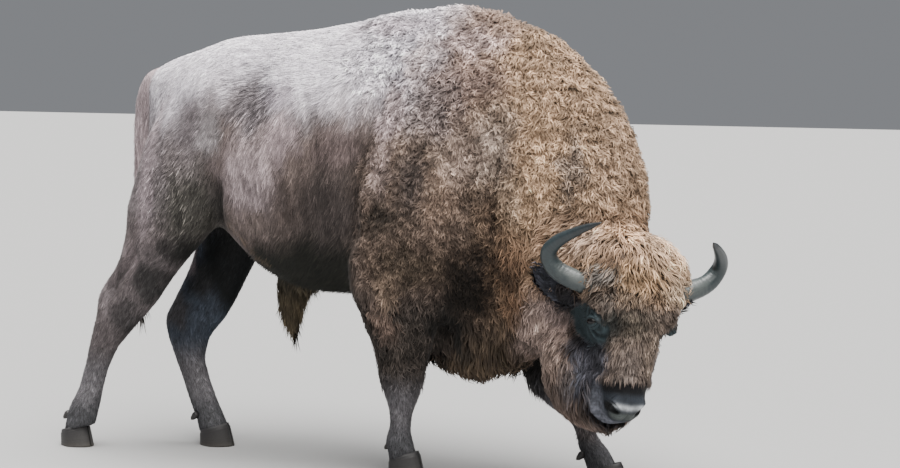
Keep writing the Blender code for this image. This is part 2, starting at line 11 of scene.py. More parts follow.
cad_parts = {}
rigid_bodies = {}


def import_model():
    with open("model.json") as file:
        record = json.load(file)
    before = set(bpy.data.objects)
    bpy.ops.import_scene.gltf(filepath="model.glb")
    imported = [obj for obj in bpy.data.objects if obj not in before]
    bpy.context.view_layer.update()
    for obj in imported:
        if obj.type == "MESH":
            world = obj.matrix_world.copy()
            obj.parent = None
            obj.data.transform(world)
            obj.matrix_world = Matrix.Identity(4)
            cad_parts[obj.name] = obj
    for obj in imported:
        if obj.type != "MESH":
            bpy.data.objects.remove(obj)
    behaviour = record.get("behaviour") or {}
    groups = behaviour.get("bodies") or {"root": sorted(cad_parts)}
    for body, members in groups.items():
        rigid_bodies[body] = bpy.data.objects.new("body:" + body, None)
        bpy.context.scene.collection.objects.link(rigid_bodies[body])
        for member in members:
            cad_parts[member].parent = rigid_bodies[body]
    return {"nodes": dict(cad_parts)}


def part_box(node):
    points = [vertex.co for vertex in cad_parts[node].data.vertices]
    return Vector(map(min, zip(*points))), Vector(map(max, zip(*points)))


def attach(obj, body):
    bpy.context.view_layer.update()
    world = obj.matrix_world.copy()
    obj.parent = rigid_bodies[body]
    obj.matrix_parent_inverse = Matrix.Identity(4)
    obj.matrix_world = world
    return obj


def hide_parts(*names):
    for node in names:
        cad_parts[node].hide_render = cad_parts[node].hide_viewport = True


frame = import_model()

for leftover in [o for o in bpy.data.objects if o.name in ("Cube", "Light", "Camera")]:
    bpy.data.objects.remove(leftover)
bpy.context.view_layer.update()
dice = np.random.default_rng(4815)


def smooth(low, high, value):
    # 0 at low, 1 at high, with an S curve between them; low may be above high
    t = np.clip((value - low) / (high - low), 0.0, 1.0)
    return t * t * (3.0 - 2.0 * t)


def unit(vectors):
    # the same directions, one long
    return vectors / np.maximum(np.linalg.norm(vectors, axis=-1, keepdims=True), 1e-9)


def mix(first, second, weight):
    # the first where the weight is 0, the second where it is 1, for numbers, places and colours
    first, second, weight = (np.asarray(value, float) for value in (first, second, weight))
    if max(first.ndim, second.ndim) > weight.ndim:
        weight = weight[..., None]
    return first * (1.0 - weight) + second * weight


def swell(points, size, seed=0, stretch=(1.0, 1.0, 1.0)):
    # soft noise from -1 to 1: nine sine waves in random directions, about one size long
    random = np.random.default_rng(900 + seed)
    waves = unit(random.normal(size=(9, 3))) * random.uniform(0.6, 1.6, (9, 1)) * 2 * math.pi / size
    turns = random.uniform(0, 2 * math.pi, 9)
    return np.sin(points @ (waves * np.array(stretch)).T + turns).sum(axis=1) / 4.0


def nearestSeed(points, size, seed=0):
    # one random seed point in each cube of the given size; the closest one to each point,
    # with its distance and a number from 0 to 1 that is its own
    cell = np.floor(points / size)
    best = np.full(len(points), 1e9)
    spot = np.zeros_like(points)
    own = np.zeros(len(points))
    for i in (-1, 0, 1):
        for j in (-1, 0, 1):
            for k in (-1, 0, 1):
                cube = cell + (i, j, k)
                key = cube @ np.array([[127.1, 269.5, 419.2], [311.7, 183.3, 371.9], [74.7, 246.1, 97.3]])
                jitter = np.modf(np.abs(np.sin(key + seed) * 43758.5453))[0]
                place = (cube + jitter) * size
                gap = ((place - points) ** 2).sum(axis=1)
                closer = gap < best
                best = np.where(closer, gap, best)
                spot[closer] = place[closer]
                own[closer] = jitter[closer, 0]
    return spot, np.sqrt(best), own


def inOval(first, second, middle, reach):
    # how far out in a flat oval each place lies: 0 in its middle, 1 on its edge
    return np.hypot((first - middle[0]) / reach[0], (second - middle[1]) / reach[1])


def inBall(local, middle, reach):
    # the same in space, for both sides of the head at once: x is counted from the middle outwards
    hx, hy, hz = local.T
    places = zip((np.abs(hx), hy, hz), middle, reach)
    return np.linalg.norm(np.stack([(place - m) / r for place, m, r in places]), axis=0)


def slanted(points, lean):
    # leans the points forwards with their height, for streaks that run down and back
    z = points[:, 2]
    return points + lean * np.stack([z, 0 * z, 0 * z], axis=1)


def alongCurve(points, count):
    # Catmull-Rom curve through the points, as count places evenly spread over the spans
    points = np.asarray(points, float)
    padded = np.concatenate([[2 * points[0] - points[1]], points, [2 * points[-1] - points[-2]]])
    t = np.linspace(0, len(points) - 1, count)
    span = np.minimum(t.astype(int), len(points) - 2)
    u = (t - span)[:, None] if points.ndim > 1 else t - span
    a, b, c, d = padded[span], padded[span + 1], padded[span + 2], padded[span + 3]
    return 0.5 * (2 * b + (c - a) * u + (2 * a - 5 * b + 4 * c - d) * u ** 2
                  + (3 * b - a - 3 * c + d) * u ** 3)


def closedTube(rings):
    # triangles round rings of shape (rows, columns, 3), with a pole in the middle of each end
    rows, columns = rings.shape[:2]
    r, c = np.meshgrid(np.arange(rows - 1), np.arange(columns), indexing="ij")
    n = (c + 1) % columns
    sides = np.stack([r * columns + c, r * columns + n, (r + 1) * columns + n, (r + 1) * columns + c],
                     axis=-1).reshape(-1, 4)
    points = np.concatenate([rings.reshape(-1, 3), rings[:1].mean(axis=1), rings[-1:].mean(axis=1)])
    turn = np.arange(columns)
    following = (turn + 1) % columns
    first, last = rows * columns, (rows - 1) * columns
    return points, np.concatenate([
        sides[:, [0, 1, 2]], sides[:, [0, 2, 3]],
        np.stack([np.full(columns, first), following, turn], axis=1),
        np.stack([np.full(columns, first + 1), last + turn, last + following], axis=1)])


def perRing(values, columns, *poles):
    # one value for each ring, given to all its points, and the two poles' values
    return np.concatenate([np.repeat(values, columns), poles])


def fullTurn(columns):
    # angles once round, as a row
    return np.linspace(0, 2 * math.pi, columns, endpoint=False)[None]


def ballRings(axes, angle, polar, radius):
    # circles round an axis, each at its own angle from the axis
    axis, up, along = axes
    return (axis * np.cos(polar) + (along * np.cos(angle) + up * np.sin(angle)) * np.sin(polar)) * radius


def facingOut(points, faces):
    # turned round where the closed shape's volume comes out negative
    a, b, c = (points[faces[:, i]] for i in range(3))
    return faces if (np.cross(a, b) * c).sum() > 0 else faces[:, ::-1]


def carriedFrames(path, hint):
    # two directions across a path at each of its points, carried along it without twisting
    ahead = unit(np.gradient(path, axis=0))
    across = [unit(np.cross(ahead[0], hint))]
    for way in ahead[1:]:
        across.append(unit(across[-1] - way * (across[-1] @ way)))
    across = np.array(across)
    return across, np.cross(ahead, across)


def ringsOn(path, hint, angle, radii, flutes=1.0):
    # circles across a path, each turned as the one before it
    across, other = carriedFrames(path, np.array(hint))
    circles = across[:, None] * np.cos(angle) + other[:, None] * np.sin(angle)
    return path[:, None] + circles * radii * flutes


def meshOf(name, points, faces):
    # a smooth mesh from arrays of points and of faces that all have as many sides
    mesh = bpy.data.meshes.new(name)
    sides = faces.shape[1]
    mesh.vertices.add(len(points))
    mesh.vertices.foreach_set("co", np.ascontiguousarray(points, np.float32).ravel())
    mesh.loops.add(faces.size)
    mesh.loops.foreach_set("vertex_index", np.ascontiguousarray(faces, np.int32).ravel())
    mesh.polygons.add(len(faces))
    mesh.polygons.foreach_set("loop_start", np.arange(0, faces.size, sides, dtype=np.int32))
    mesh.update(calc_edges=True)
    mesh.polygons.foreach_set("use_smooth", np.ones(len(faces), bool))
    return mesh


def placed(name, mesh, material, slot, *nodes):
    # a finished piece: in the scene, on the body, standing for the named nodes
    mesh.materials.append(material)
    piece = bpy.data.objects.new(name, mesh)
    bpy.context.scene.collection.objects.link(piece)
    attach(piece, "root")
    if nodes:
        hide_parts(*nodes)
    return piece


def give(mesh, name, values):
    # a value for each corner point: one number, or a colour of three
    if values.ndim == 1:
        mesh.attributes.new(name, "FLOAT", "POINT").data.foreach_set("value", values.astype(np.float32))
        return
    rgba = np.ones((len(values), 4), np.float32)
    rgba[:, :3] = np.clip(values, 0.0, 1.0)
    mesh.attributes.new(name, "FLOAT_COLOR", "POINT").data.foreach_set("color", rgba.ravel())


def boxMiddle(node):
    low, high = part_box(node)
    return (np.array(low) + np.array(high)) / 2


# where the camera stands, how it is turned and tipped down in degrees, and its focal length
camera = {"place": (4.0396, -7.0204, 1.65), "yaw": 28.0, "down": 5.2816, "lens": 85.76}
studio = {"floor": (0.31, 0.31, 0.31), "halfFloor": 30.0, "sky": (0.86, 0.89, 0.95), "skyStrength": 0.26}
# for each lamp: where its light comes from, spread in degrees, strength and colour
lamps = {"topLight": ((0.15, -0.1, 1.0), 60.0, 11.4, (1.0, 0.985, 0.96)),
         "keyLight": ((0.9, -0.8, 0.9), 35.0, 1.4, (1.0, 0.97, 0.92))}


def setCamera():
    yaw, down = math.radians(camera["yaw"]), math.radians(camera["down"])
    lens = bpy.data.cameras.new("camera")
    lens.sensor_width = 36.0
    lens.lens = camera["lens"]
    lens.clip_end = 200.0
    eye = bpy.data.objects.new("camera", lens)
    eye.location = camera["place"]
    eye.rotation_euler = (math.pi / 2 - down, 0.0, yaw)
    bpy.context.scene.collection.objects.link(eye)
    bpy.context.scene.camera = eye


def softSun(name, comesFrom, spread, strength, colour):
    # light from one direction, softened by its spread in degrees
    light = bpy.data.lights.new(name, "SUN")
    light.angle = math.radians(spread)
    light.energy = strength
    light.color = colour
    lamp = bpy.data.objects.new(name, light)
    lamp.location = Vector(comesFrom).normalized() * 6.0
    lamp.rotation_euler = Vector(comesFrom).to_track_quat("Z", "Y").to_euler()
    bpy.context.scene.collection.objects.link(lamp)


def setStudio():
    corners = np.array([(-1, -1, 0), (1, -1, 0), (1, 1, 0), (-1, 1, 0)]) * studio["halfFloor"]
    floor = bpy.data.objects.new("floor", meshOf("floor", corners, np.array([[0, 1, 2, 3]])))
    bpy.context.scene.collection.objects.link(floor)
    material = bpy.data.materials.new("studioFloor")
    material.use_nodes = True
    shader = material.node_tree.nodes["Principled BSDF"]
    shader.inputs["Base Color"].default_value = (*studio["floor"], 1)
    shader.inputs["Roughness"].default_value = 0.9
    floor.data.materials.append(material)
    world = bpy.data.worlds.new("studioSky")
    world.use_nodes = True
    sky = world.node_tree.nodes["Background"]
    sky.inputs["Color"].default_value = (*studio["sky"], 1)
    sky.inputs["Strength"].default_value = studio["skyStrength"]
    bpy.context.scene.world = world
    for name, settings in lamps.items():
        softSun(name, *settings)


setCamera()
setStudio()
print("camera, floor and light are set")


# the head's own frame: x is the animal's right, y comes out of the face, z runs from the nose
# to the crown
headPose = {"yaw": -45.0, "pitch": 5.0, "roll": 7.0, "eyeForward": 0.05, "eyeUp": -0.136}


def headAxes():
    yaw, pitch, roll = (math.radians(headPose[k]) for k in ("yaw", "pitch", "roll"))
    facing = Vector((math.cos(yaw), math.sin(yaw), 0))
    crown = Vector((0, 0, math.cos(pitch))) - facing * math.sin(pitch)
    face = facing * math.cos(pitch) + Vector((0, 0, math.sin(pitch)))
    turn = Matrix((face.cross(crown), face, crown)).transposed()
    return np.array(Matrix.Rotation(-roll, 3, face) @ turn)


headTurn = headAxes()
eyeMiddle = (boxMiddle("eye_right") + boxMiddle("eye_left")) / 2
headOrigin = eyeMiddle - headTurn @ np.array([0.0, headPose["eyeForward"], headPose["eyeUp"]])


def toHead(points):
    # places in the head's frame
    return (points - headOrigin) @ headTurn


def fromHead(local):
    # and back
    return headOrigin + np.asarray(local, float) @ headTurn.T


bodyMiddle = 0.039     # where on y the plane between the body's two sides lies

# each leg is a line of joints: x, y, z and how far the leg's flesh reaches round it
legLines = {
    "foreRight": [(0.25, -0.19, 0.9, 0.25), (0.205, -0.19, 0.7, 0.19), (0.19, -0.15, 0.51, 0.15),
                  (0.155, -0.09, 0.32, 0.1), (0.132, -0.07, 0.22, 0.075), (0.125, -0.06, 0.13, 0.08),
                  (0.14, -0.046, 0.02, 0.09)],
    "foreLeft": [(0.48, 0.24, 0.86, 0.2), (0.595, 0.2, 0.6, 0.16), (0.69, 0.16, 0.39, 0.15),
                 (0.765, 0.14, 0.27, 0.1), (0.83, 0.122, 0.15, 0.08), (0.895, 0.111, 0.02, 0.09)],
    "hindRight": [(-0.76, -0.155, 1.0, 0.26), (-0.96, -0.17, 0.75, 0.18), (-1.08, -0.169, 0.56, 0.16),
                  (-1.16, -0.168, 0.43, 0.12), (-1.23, -0.165, 0.27, 0.09), (-1.285, -0.162, 0.13, 0.09),
                  (-1.315, -0.16, 0.02, 0.1)],
    "hindLeft": [(-0.76, 0.23, 1.0, 0.26), (-0.86, 0.205, 0.75, 0.18), (-0.96, 0.172, 0.54, 0.16),
                 (-0.985, 0.158, 0.45, 0.13), (-0.935, 0.138, 0.29, 0.09), (-0.86, 0.12, 0.13, 0.09),
                 (-0.82, 0.11, 0.02, 0.1)],
}


def alongLeg(points, line):
    # how near each point is to the leg's line, 1 in it and 0 away, and the way the leg runs there
    joints = np.array(line)
    best = np.full(len(points), 1e9)
    run = np.zeros_like(points)
    for a, b in zip(joints[:-1], joints[1:]):
        way = b[:3] - a[:3]
        t = np.clip((points - a[:3]) @ way / (way @ way), 0, 1)
        reach = a[3] + (b[3] - a[3]) * t
        gap = np.linalg.norm(points - a[:3] - t[:, None] * way, axis=1) / reach
        closer = gap < best
        best = np.where(closer, gap, best)
        run[closer] = way / np.linalg.norm(way)
    return smooth(1.3, 0.95, best), run


def bodyRegions(points):
    # a soft mask from 0 to 1 for each region of the body
    x, y, z = points.T
    local = toHead(points)
    hx, hy, hz = local.T
    side, aside = np.abs(hx), np.abs(y - bodyMiddle)
    wobble = swell(points, 0.16, 3) * 0.02
    behind = -0.31 - 0.13 * smooth(-0.08, -0.25, hz)
    head = smooth(behind - 0.05, behind + 0.05, hy + wobble)
    head = head * smooth(-0.62, -0.56, hz) * smooth(0.34, 0.26, side)
    head *= smooth(0.28, 0.18, hz)
    head *= smooth(0.18, 0.12, y)
    masks = {"head": head}
    legs = {}
    for name, line in legLines.items():
        near, run = alongLeg(points, line)
        legs[name] = (near * (1 - head), run)
    masks["foreRight"] = legs["foreRight"][0] * smooth(0.8, 0.62, z)
    masks["foreRight"] *= smooth(-0.02, -0.06, y - 0.12 * (z < 0.36))
    masks["foreLeft"] = legs["foreLeft"][0] * smooth(0.66, 0.5, z) * smooth(0.02, 0.06, y)
    masks["hindRight"] = legs["hindRight"][0] * smooth(1.02, 0.8, z) * smooth(0.02, -0.02, y)
    masks["hindLeft"] = legs["hindLeft"][0] * smooth(1.02, 0.8, z) * smooth(0.01, 0.04, y)
    masks["legs"] = np.max([masks[k] for k in legLines], axis=0)
    masks["runs"] = {k: legs[k][1] for k in legLines}
    rest = (1 - head) * (1 - masks["legs"])
    masks["neck"] = rest * smooth(0.46, 0.66, x + wobble) * smooth(0.4, 0.52, z)
    masks["hump"] = rest * smooth(-0.2, 0.16, x + wobble) * smooth(1.25, 1.55, z + wobble)
    masks["mane"] = rest * smooth(0.58, 0.66, x + wobble)
    masks["mane"] = masks["mane"] * smooth(1.02, 0.9, z + 2 * wobble) * smooth(0.4, 0.5, z)
    masks["shoulder"] = rest * smooth(-0.02, 0.16, x + wobble - 0.1 * smooth(1.1, 1.5, z))
    masks["shoulder"] *= smooth(0.5, 0.62, z)
    masks["back"] = rest * smooth(1.3, 1.52, z + 0.12 * smooth(-0.3, -1.0, x)) * smooth(0.05, -0.15, x)
    masks["rump"] = rest * smooth(-0.52, -0.72, x + wobble) * smooth(0.74, 0.92, z)
    line = 0.9 + 0.2 * (x + 0.27) + 0.03 * swell(points, 0.2, 5)
    masks["belly"] = rest * smooth(line + 0.07, line - 0.08, z)
    masks["belly"] = masks["belly"] * smooth(0.12, 0.0, x) * smooth(-0.66, -0.52, x)
    masks["brisket"] = rest * smooth(0.72, 0.56, z + wobble) * smooth(0.0, 0.12, x)
    masks["tail"] = rest * smooth(-0.985, -1.03, x) * smooth(0.09, 0.07, aside) * smooth(0.6, 0.7, z)
    masks["tailTuft"] = smooth(-1.08, -1.1, x) * smooth(0.92, 0.88, z) * smooth(0.075, 0.06, aside)
    masks["sheath"] = smooth(0.75, 0.66, z) * smooth(0.13, 0.11, np.abs(x + 0.41)) * smooth(0.1, 0.08, aside)
    # the head's own regions
    masks["crown"] = head * smooth(-0.075, -0.005, hz + 0.5 * wobble) * smooth(-0.36, -0.22, hy)
    masks["face"] = head * smooth(-0.03, 0.02, hy) * smooth(0.02, -0.06, hz)
    masks["forehead"] = masks["face"] * smooth(-0.235, -0.175, hz + wobble)
    masks["cheek"] = head * smooth(0.03, -0.03, hy) * smooth(-0.06, -0.14, hz)
    masks["beard"] = head * smooth(-0.24, -0.36, hz) * smooth(-0.03, -0.08, hy)
    masks["muzzle"] = head * smooth(-0.318, -0.35, hz + 0.3 * wobble) * smooth(-0.09, -0.06, hy)
    eye = inOval(hy, hz, (-0.046, -0.15), (0.116, 0.082)) + 0.1 * swell(points, 0.07, 8)
    masks["eye"] = head * smooth(1.1, 0.88, eye) * smooth(0.078, 0.1, side)
    return masks


# the right eye in the head's frame: its middle, the way it looks, and the oval of its socket on
# y and z; dome is how far the clear front stands out, against the radius
eyeSizes = {"place": (0.1465, 0.0275, -0.144), "axis": (0.79, 0.61, -0.06), "radius": 0.0205, "dome": 0.06,
            "socket": (0.022, -0.144), "socketReach": (0.06, 0.056), "socketDeep": 0.0095, "foldDeep": 0.0026,
            "browPlace": (0.06, -0.092), "browReach": (0.05, 0.02), "browHigh": 0.008, "rows": 30,
            "columns": 40}
# the nostrils are slanting slits with a raised rim; the lip is parted below them, and the mouth
# is a groove; damp is the height of the wet line between the nostrils
noseSizes = {"place": (0.053, 0.0, -0.438), "turn": -47.0, "short": 0.011, "long": 0.03, "deep": 0.018,
             "rimHigh": 0.0035, "mouthDeep": 0.006, "mouthWide": 0.0045, "partingDeep": 0.0035,
             "partingWide": 0.004, "damp": -0.434}


# forms under the coat: a line of (x, z) places on the body's sides, half its width, how far the
# skin rises there or, below zero, sinks, how far painted shade darkens the coat there or, below zero, a
# painted highlight lightens it, and its side where it has one
bodyForms = {
    "shoulderRear": ([(0.058, 0.92), (0.052, 1.05), (0.07, 1.17), (0.108, 1.34), (0.165, 1.48)],
                     0.034, -0.018, 0.3),
    "shoulderEdge": ([(0.105, 0.9), (0.108, 1.05), (0.13, 1.17), (0.17, 1.34), (0.23, 1.48)],
                     0.03, 0.008, -0.14),
    "elbowPocket": ([(0.12, 0.94), (0.135, 1.0)], 0.036, -0.014, 0.3),
    "elbowBulge": ([(0.055, 0.81), (0.06, 0.74)], 0.055, 0.03, 0.0),
    "forearmBulge": ([(0.08, 0.68), (0.1, 0.58)], 0.05, 0.018, 0.0),
    "armRidge": ([(0.385, 1.2), (0.395, 1.05), (0.41, 0.88)], 0.03, 0.01, -0.18),
    "armHollow": ([(0.31, 1.22), (0.3, 1.05), (0.29, 0.88)], 0.04, -0.012, 0.22),
    "neckHollow": ([(0.5, 1.25), (0.51, 1.05), (0.52, 0.85)], 0.038, -0.016, 0.3),
    "neckCrease": ([(0.6, 1.2), (0.588, 1.02), (0.58, 0.84), (0.55, 0.68)], 0.022, -0.026, 0.45),
    "flankHollow": ([(-0.44, 1.47), (-0.415, 1.4), (-0.4, 1.33)], 0.085, -0.02, 0.3),
    "lastRib": ([(-0.23, 1.44), (-0.33, 1.32), (-0.44, 1.23)], 0.05, 0.006, -0.22),
    "foldHollow": ([(-0.56, 1.08), (-0.58, 1.02), (-0.605, 0.95)], 0.026, -0.02, 0.7),
    "foldEdge": ([(-0.47, 1.18), (-0.5, 1.08), (-0.53, 0.98)], 0.034, 0.003, 0.0),
    "hipBone": ([(-0.64, 1.44), (-0.61, 1.42)], 0.055, 0.008, -0.15),
    "rumpHollow": ([(-0.78, 1.38), (-0.74, 1.25)], 0.075, -0.012, 0.12),
    "thighLine": ([(-0.86, 1.3), (-0.85, 1.1), (-0.9, 0.92)], 0.03, -0.009, 0.2),
    "hockRight": ([(-1.075, 0.665), (-1.01, 0.74), (-0.96, 0.8)], 0.024, -0.014, 0.45, "right"),
    "hockLeft": ([(-0.975, 0.6), (-0.94, 0.7), (-0.9, 0.78)], 0.024, -0.014, 0.35, "left"),
}


def addForms(points):
    # how far the skin moves out at each point, and how far painted shade darkens the coat there,
    # or below zero a painted highlight lightens it; every form falls off as a bell from its line
    x, y, z = points.T
    aside = np.abs(y - bodyMiddle)
    move, shade = np.zeros(len(points)), np.zeros(len(points))
    for line, wide, rise, dark, *side in bodyForms.values():
        near = np.full(len(points), 1e9)
        for spot in alongCurve(line, 40):
            near = np.minimum(near, (x - spot[0]) ** 2 + (z - spot[1]) ** 2)
        near = np.exp(-near / wide ** 2) * smooth(0.05, 0.1, aside)
        if side:
            near = near * ((y < bodyMiddle) == (side == ["right"]))
        move += near * rise
        shade += near * dark
    # the tail lies in a groove between the buttocks, with painted shade along the groove
    behind = smooth(-0.8, -0.94, x) * smooth(0.88, 1.02, z) * smooth(1.49, 1.35, z)
    move -= 0.026 * behind * smooth(0.04, 0.062, aside) * smooth(0.28, 0.12, aside)
    shade += 0.6 * behind * np.exp(-((aside - 0.062) / 0.022) ** 2)
    # ripples of slack skin run down the flank, and the shoulder's muscles swell under its wool; each rise is
    # painted lighter and each dip darker, as painted light and shade
    flank = smooth(-0.58, -0.4, x) * smooth(0.06, -0.02, x) * smooth(0.84, 0.98, z) * smooth(1.5, 1.35, z)
    ripple = swell(slanted(points, 0.2), 0.085, 51, (1.0, 0.3, 0.16))
    move += flank * 0.0035 * ripple
    shade -= flank * 0.13 * ripple
    lumps = swell(points, 0.075, 53) * smooth(0.25, 0.5, x) * smooth(1.0, 1.15, z)
    move += 0.0075 * lumps
    shade -= 0.1 * lumps
    muscle = swell(points, 0.24, 52, (1.0, 0.5, 0.45)) * smooth(0.08, 0.2, x) * smooth(0.8, 0.65, x)
    move += 0.006 * muscle
    shade -= 0.1 * muscle
    return move, np.clip(shade, -0.4, 0.8)


def woolWaves(points):
    # how far the wool stands on neck and hump: 1 on its waves, less in the cracks between them
    x, z = points[:, 0], points[:, 2]
    warp = 0.34 * swell(points, 0.26, 41) + 0.2 * swell(points, 0.09, 42)
    crack = np.abs(np.sin(((z + 0.2 * x) / 0.056 + warp) * math.pi))
    waved = smooth(-0.1, 0.5, swell(points, 0.15, 43)) * smooth(0.66, 0.8, x) * smooth(0.86, 1.0, z)
    return 1.0 - 0.9 * waved * smooth(0.45, 0.0, crack)


# colours by region, from the back's pale grey, which is painted sheen, to the pale crown and the black-brown
# belly;
# the belly's black and the left legs' near-black and blue-grey are partly painted shade
coatColours = {
    "flank": (0.11, 0.084, 0.076), "back": (0.735, 0.685, 0.75), "rump": (0.185, 0.16, 0.165),
    "shoulder": (0.165, 0.118, 0.092), "hump": (0.32, 0.222, 0.18), "neck": (0.35, 0.232, 0.15),
    "mane": (0.2, 0.118, 0.072), "belly": (0.009, 0.009, 0.006), "brisket": (0.078, 0.055, 0.037),
    "foreRight": (0.052, 0.042, 0.036), "foreLeft": (0.006, 0.005, 0.004), "hindRight": (0.13, 0.11, 0.112),
    "hindLeft": (0.05, 0.061, 0.082), "lowLeg": (0.15, 0.142, 0.152), "tail": (0.44, 0.355, 0.37),
    "tailTuft": (0.06, 0.045, 0.035), "sheath": (0.095, 0.074, 0.046), "face": (0.15, 0.113, 0.092),
    "cheek": (0.17, 0.125, 0.108), "beard": (0.13, 0.094, 0.078), "crown": (0.43, 0.275, 0.178),
    "eye": (0.027, 0.039, 0.044), "muzzle": (0.02, 0.024, 0.031), "fringe": (0.18, 0.125, 0.08),
    # dark is painted shade, for the ear's hollow and under the hair over the muzzle; damp is a painted
    # highlight on the wet nose; the left hind leg's black stripe is painted shade
    "brow": (0.115, 0.076, 0.05), "curls": (0.29, 0.175, 0.085), "dark": (0.014, 0.014, 0.018),
    "lip": (0.07, 0.08, 0.078), "damp": (0.42, 0.44, 0.46), "smudge": (0.056, 0.06, 0.078),
    "nose": (0.112, 0.117, 0.14), "hindLeftShade": (0.005, 0.006, 0.006), "overHoof": (0.056, 0.058, 0.063),
}
# the order in which they cover each other
coverOrder = ("rump", "shoulder", "hump", "neck", "mane", "belly", "brisket", "foreRight", "foreLeft",
              "hindRight", "hindLeft", "tail", "tailTuft", "sheath", "cheek", "face", "beard", "crown")

# painted shade lies in the hollows, under the neck and chest and inside the legs, painted highlight on the
# ridges and the hump's top
# markings and painted light over the regions: middle on x and z, reach on x and z, colour and strength
coatMarkingsAndPaintedLight = {
    "crest": ((0.1, 1.69), (0.21, 0.055), (0.34, 0.29, 0.318), 0.88),
    # humpTop is a painted highlight on the hump's top
    "humpTop": ((0.44, 1.63), (0.14, 0.06), (0.49, 0.37, 0.35), 0.75),
    "humpPale": ((0.25, 1.55), (0.055, 0.09), (0.6, 0.49, 0.48), 0.8),
    "humpShade": ((0.43, 1.49), (0.17, 0.085), (0.212, 0.146, 0.124), 0.88),
    "greyHump": ((0.35, 1.4), (0.11, 0.13), (0.17, 0.134, 0.128), 0.85),
    "greyNeck": ((0.59, 1.24), (0.095, 0.18), (0.345, 0.27, 0.225), 0.85),
    "goldenBand": ((0.765, 1.18), (0.085, 0.24), (0.56, 0.37, 0.235), 0.9),
    "goldenLow": ((0.67, 1.09), (0.055, 0.11), (0.47, 0.335, 0.235), 0.85),
    "neckDip": ((0.572, 1.01), (0.045, 0.13), (0.125, 0.084, 0.06), 0.85),
    "speckledNeck": ((0.88, 1.18), (0.04, 0.15), (0.225, 0.168, 0.132), 0.92),
    "palePoll": ((1.0, 1.22), (0.08, 0.26), (0.43, 0.29, 0.195), 0.75),
    # shoulderRidge is a painted highlight on the shoulder's ridge
    "shoulderRidge": ((0.185, 1.37), (0.06, 0.13), (0.37, 0.29, 0.29), 0.85),
    "ridgeFoot": ((0.17, 1.17), (0.055, 0.13), (0.27, 0.205, 0.188), 0.85),
    "shoulderShade": ((0.3, 1.14), (0.065, 0.14), (0.08, 0.061, 0.054), 0.9),
    "goldenArm": ((0.42, 1.09), (0.05, 0.13), (0.23, 0.158, 0.118), 0.75),
    "elbowShade": ((0.195, 1.0), (0.1, 0.07), (0.042, 0.032, 0.025), 0.92),
    "armShade": ((0.29, 0.83), (0.15, 0.09), (0.08, 0.059, 0.042), 0.85),
    "elbow": ((0.2, 0.73), (0.06, 0.07), (0.245, 0.175, 0.128), 0.8),
    "forearmRear": ((0.175, 0.63), (0.055, 0.08), (0.2, 0.14, 0.112), 0.85),
    # chestDark, pit and throat are painted shade under the chest, in the armpit and under the neck
    "chestDark": ((0.5, 0.85), (0.08, 0.11), (0.042, 0.028, 0.02), 0.92),
    "pit": ((0.48, 0.74), (0.11, 0.12), (0.01, 0.007, 0.005), 0.96),
    "throat": ((0.64, 0.84), (0.09, 0.09), (0.082, 0.049, 0.03), 0.9),
    "throatLow": ((0.64, 0.7), (0.045, 0.055), (0.13, 0.072, 0.042), 0.45),
    "upperRibs": ((-0.01, 1.25), (0.12, 0.09), (0.12, 0.089, 0.086), 0.85),
    "darkRibs": ((-0.045, 1.03), (0.145, 0.16), (0.044, 0.035, 0.033), 0.92),
    "paleRibs": ((-0.26, 1.28), (0.09, 0.1), (0.35, 0.278, 0.288), 0.9),
    "paleFold": ((-0.41, 1.12), (0.15, 0.18), (0.36, 0.292, 0.3), 0.95),
    "foldFoot": ((-0.41, 0.95), (0.16, 0.07), (0.205, 0.16, 0.146), 0.85),
    "hipShade": ((-0.43, 1.38), (0.105, 0.115), (0.15, 0.13, 0.138), 0.9),
    "rumpShade": ((-0.73, 1.31), (0.08, 0.11), (0.158, 0.136, 0.145), 0.8),
    "paleHip": ((-0.61, 1.28), (0.07, 0.09), (0.34, 0.315, 0.328), 0.6),
    "upperThigh": ((-0.74, 1.16), (0.1, 0.1), (0.16, 0.135, 0.137), 0.8),
    "darkThigh": ((-0.69, 0.99), (0.14, 0.19), (0.05, 0.047, 0.04), 0.92),
    "paleHaunch": ((-0.89, 1.14), (0.045, 0.29), (0.33, 0.272, 0.288), 0.9),
    # innerThigh is painted shade between the thighs
    "innerThigh": ((-0.745, 0.82), (0.08, 0.08), (0.01, 0.01, 0.009), 0.95),
    "gaskinFront": ((-0.89, 0.69), (0.08, 0.09), (0.028, 0.027, 0.027), 0.9),
    "hockFront": ((-1.02, 0.54), (0.075, 0.085), (0.044, 0.04, 0.041), 0.85),
    "midShoulder": ((0.475, 1.23), (0.08, 0.11), (0.33, 0.243, 0.2), 0.85),
    "backEdge": ((-0.29, 1.43), (0.08, 0.055), (0.3, 0.262, 0.295), 0.8),
    "forearmFront": ((0.38, 0.6), (0.065, 0.1), (0.013, 0.012, 0.011), 0.92),
    "briskFoot": ((0.44, 0.49), (0.08, 0.04), (0.12, 0.086, 0.056), 0.6),
    "throatShade": ((0.61, 0.54), (0.08, 0.07), (0.036, 0.027, 0.016), 0.85),
    "thighRear": ((-0.985, 0.79), (0.04, 0.11), (0.27, 0.222, 0.228), 0.8),
    "hockRear": ((-1.11, 0.64), (0.045, 0.08), (0.24, 0.205, 0.212), 0.8),
}

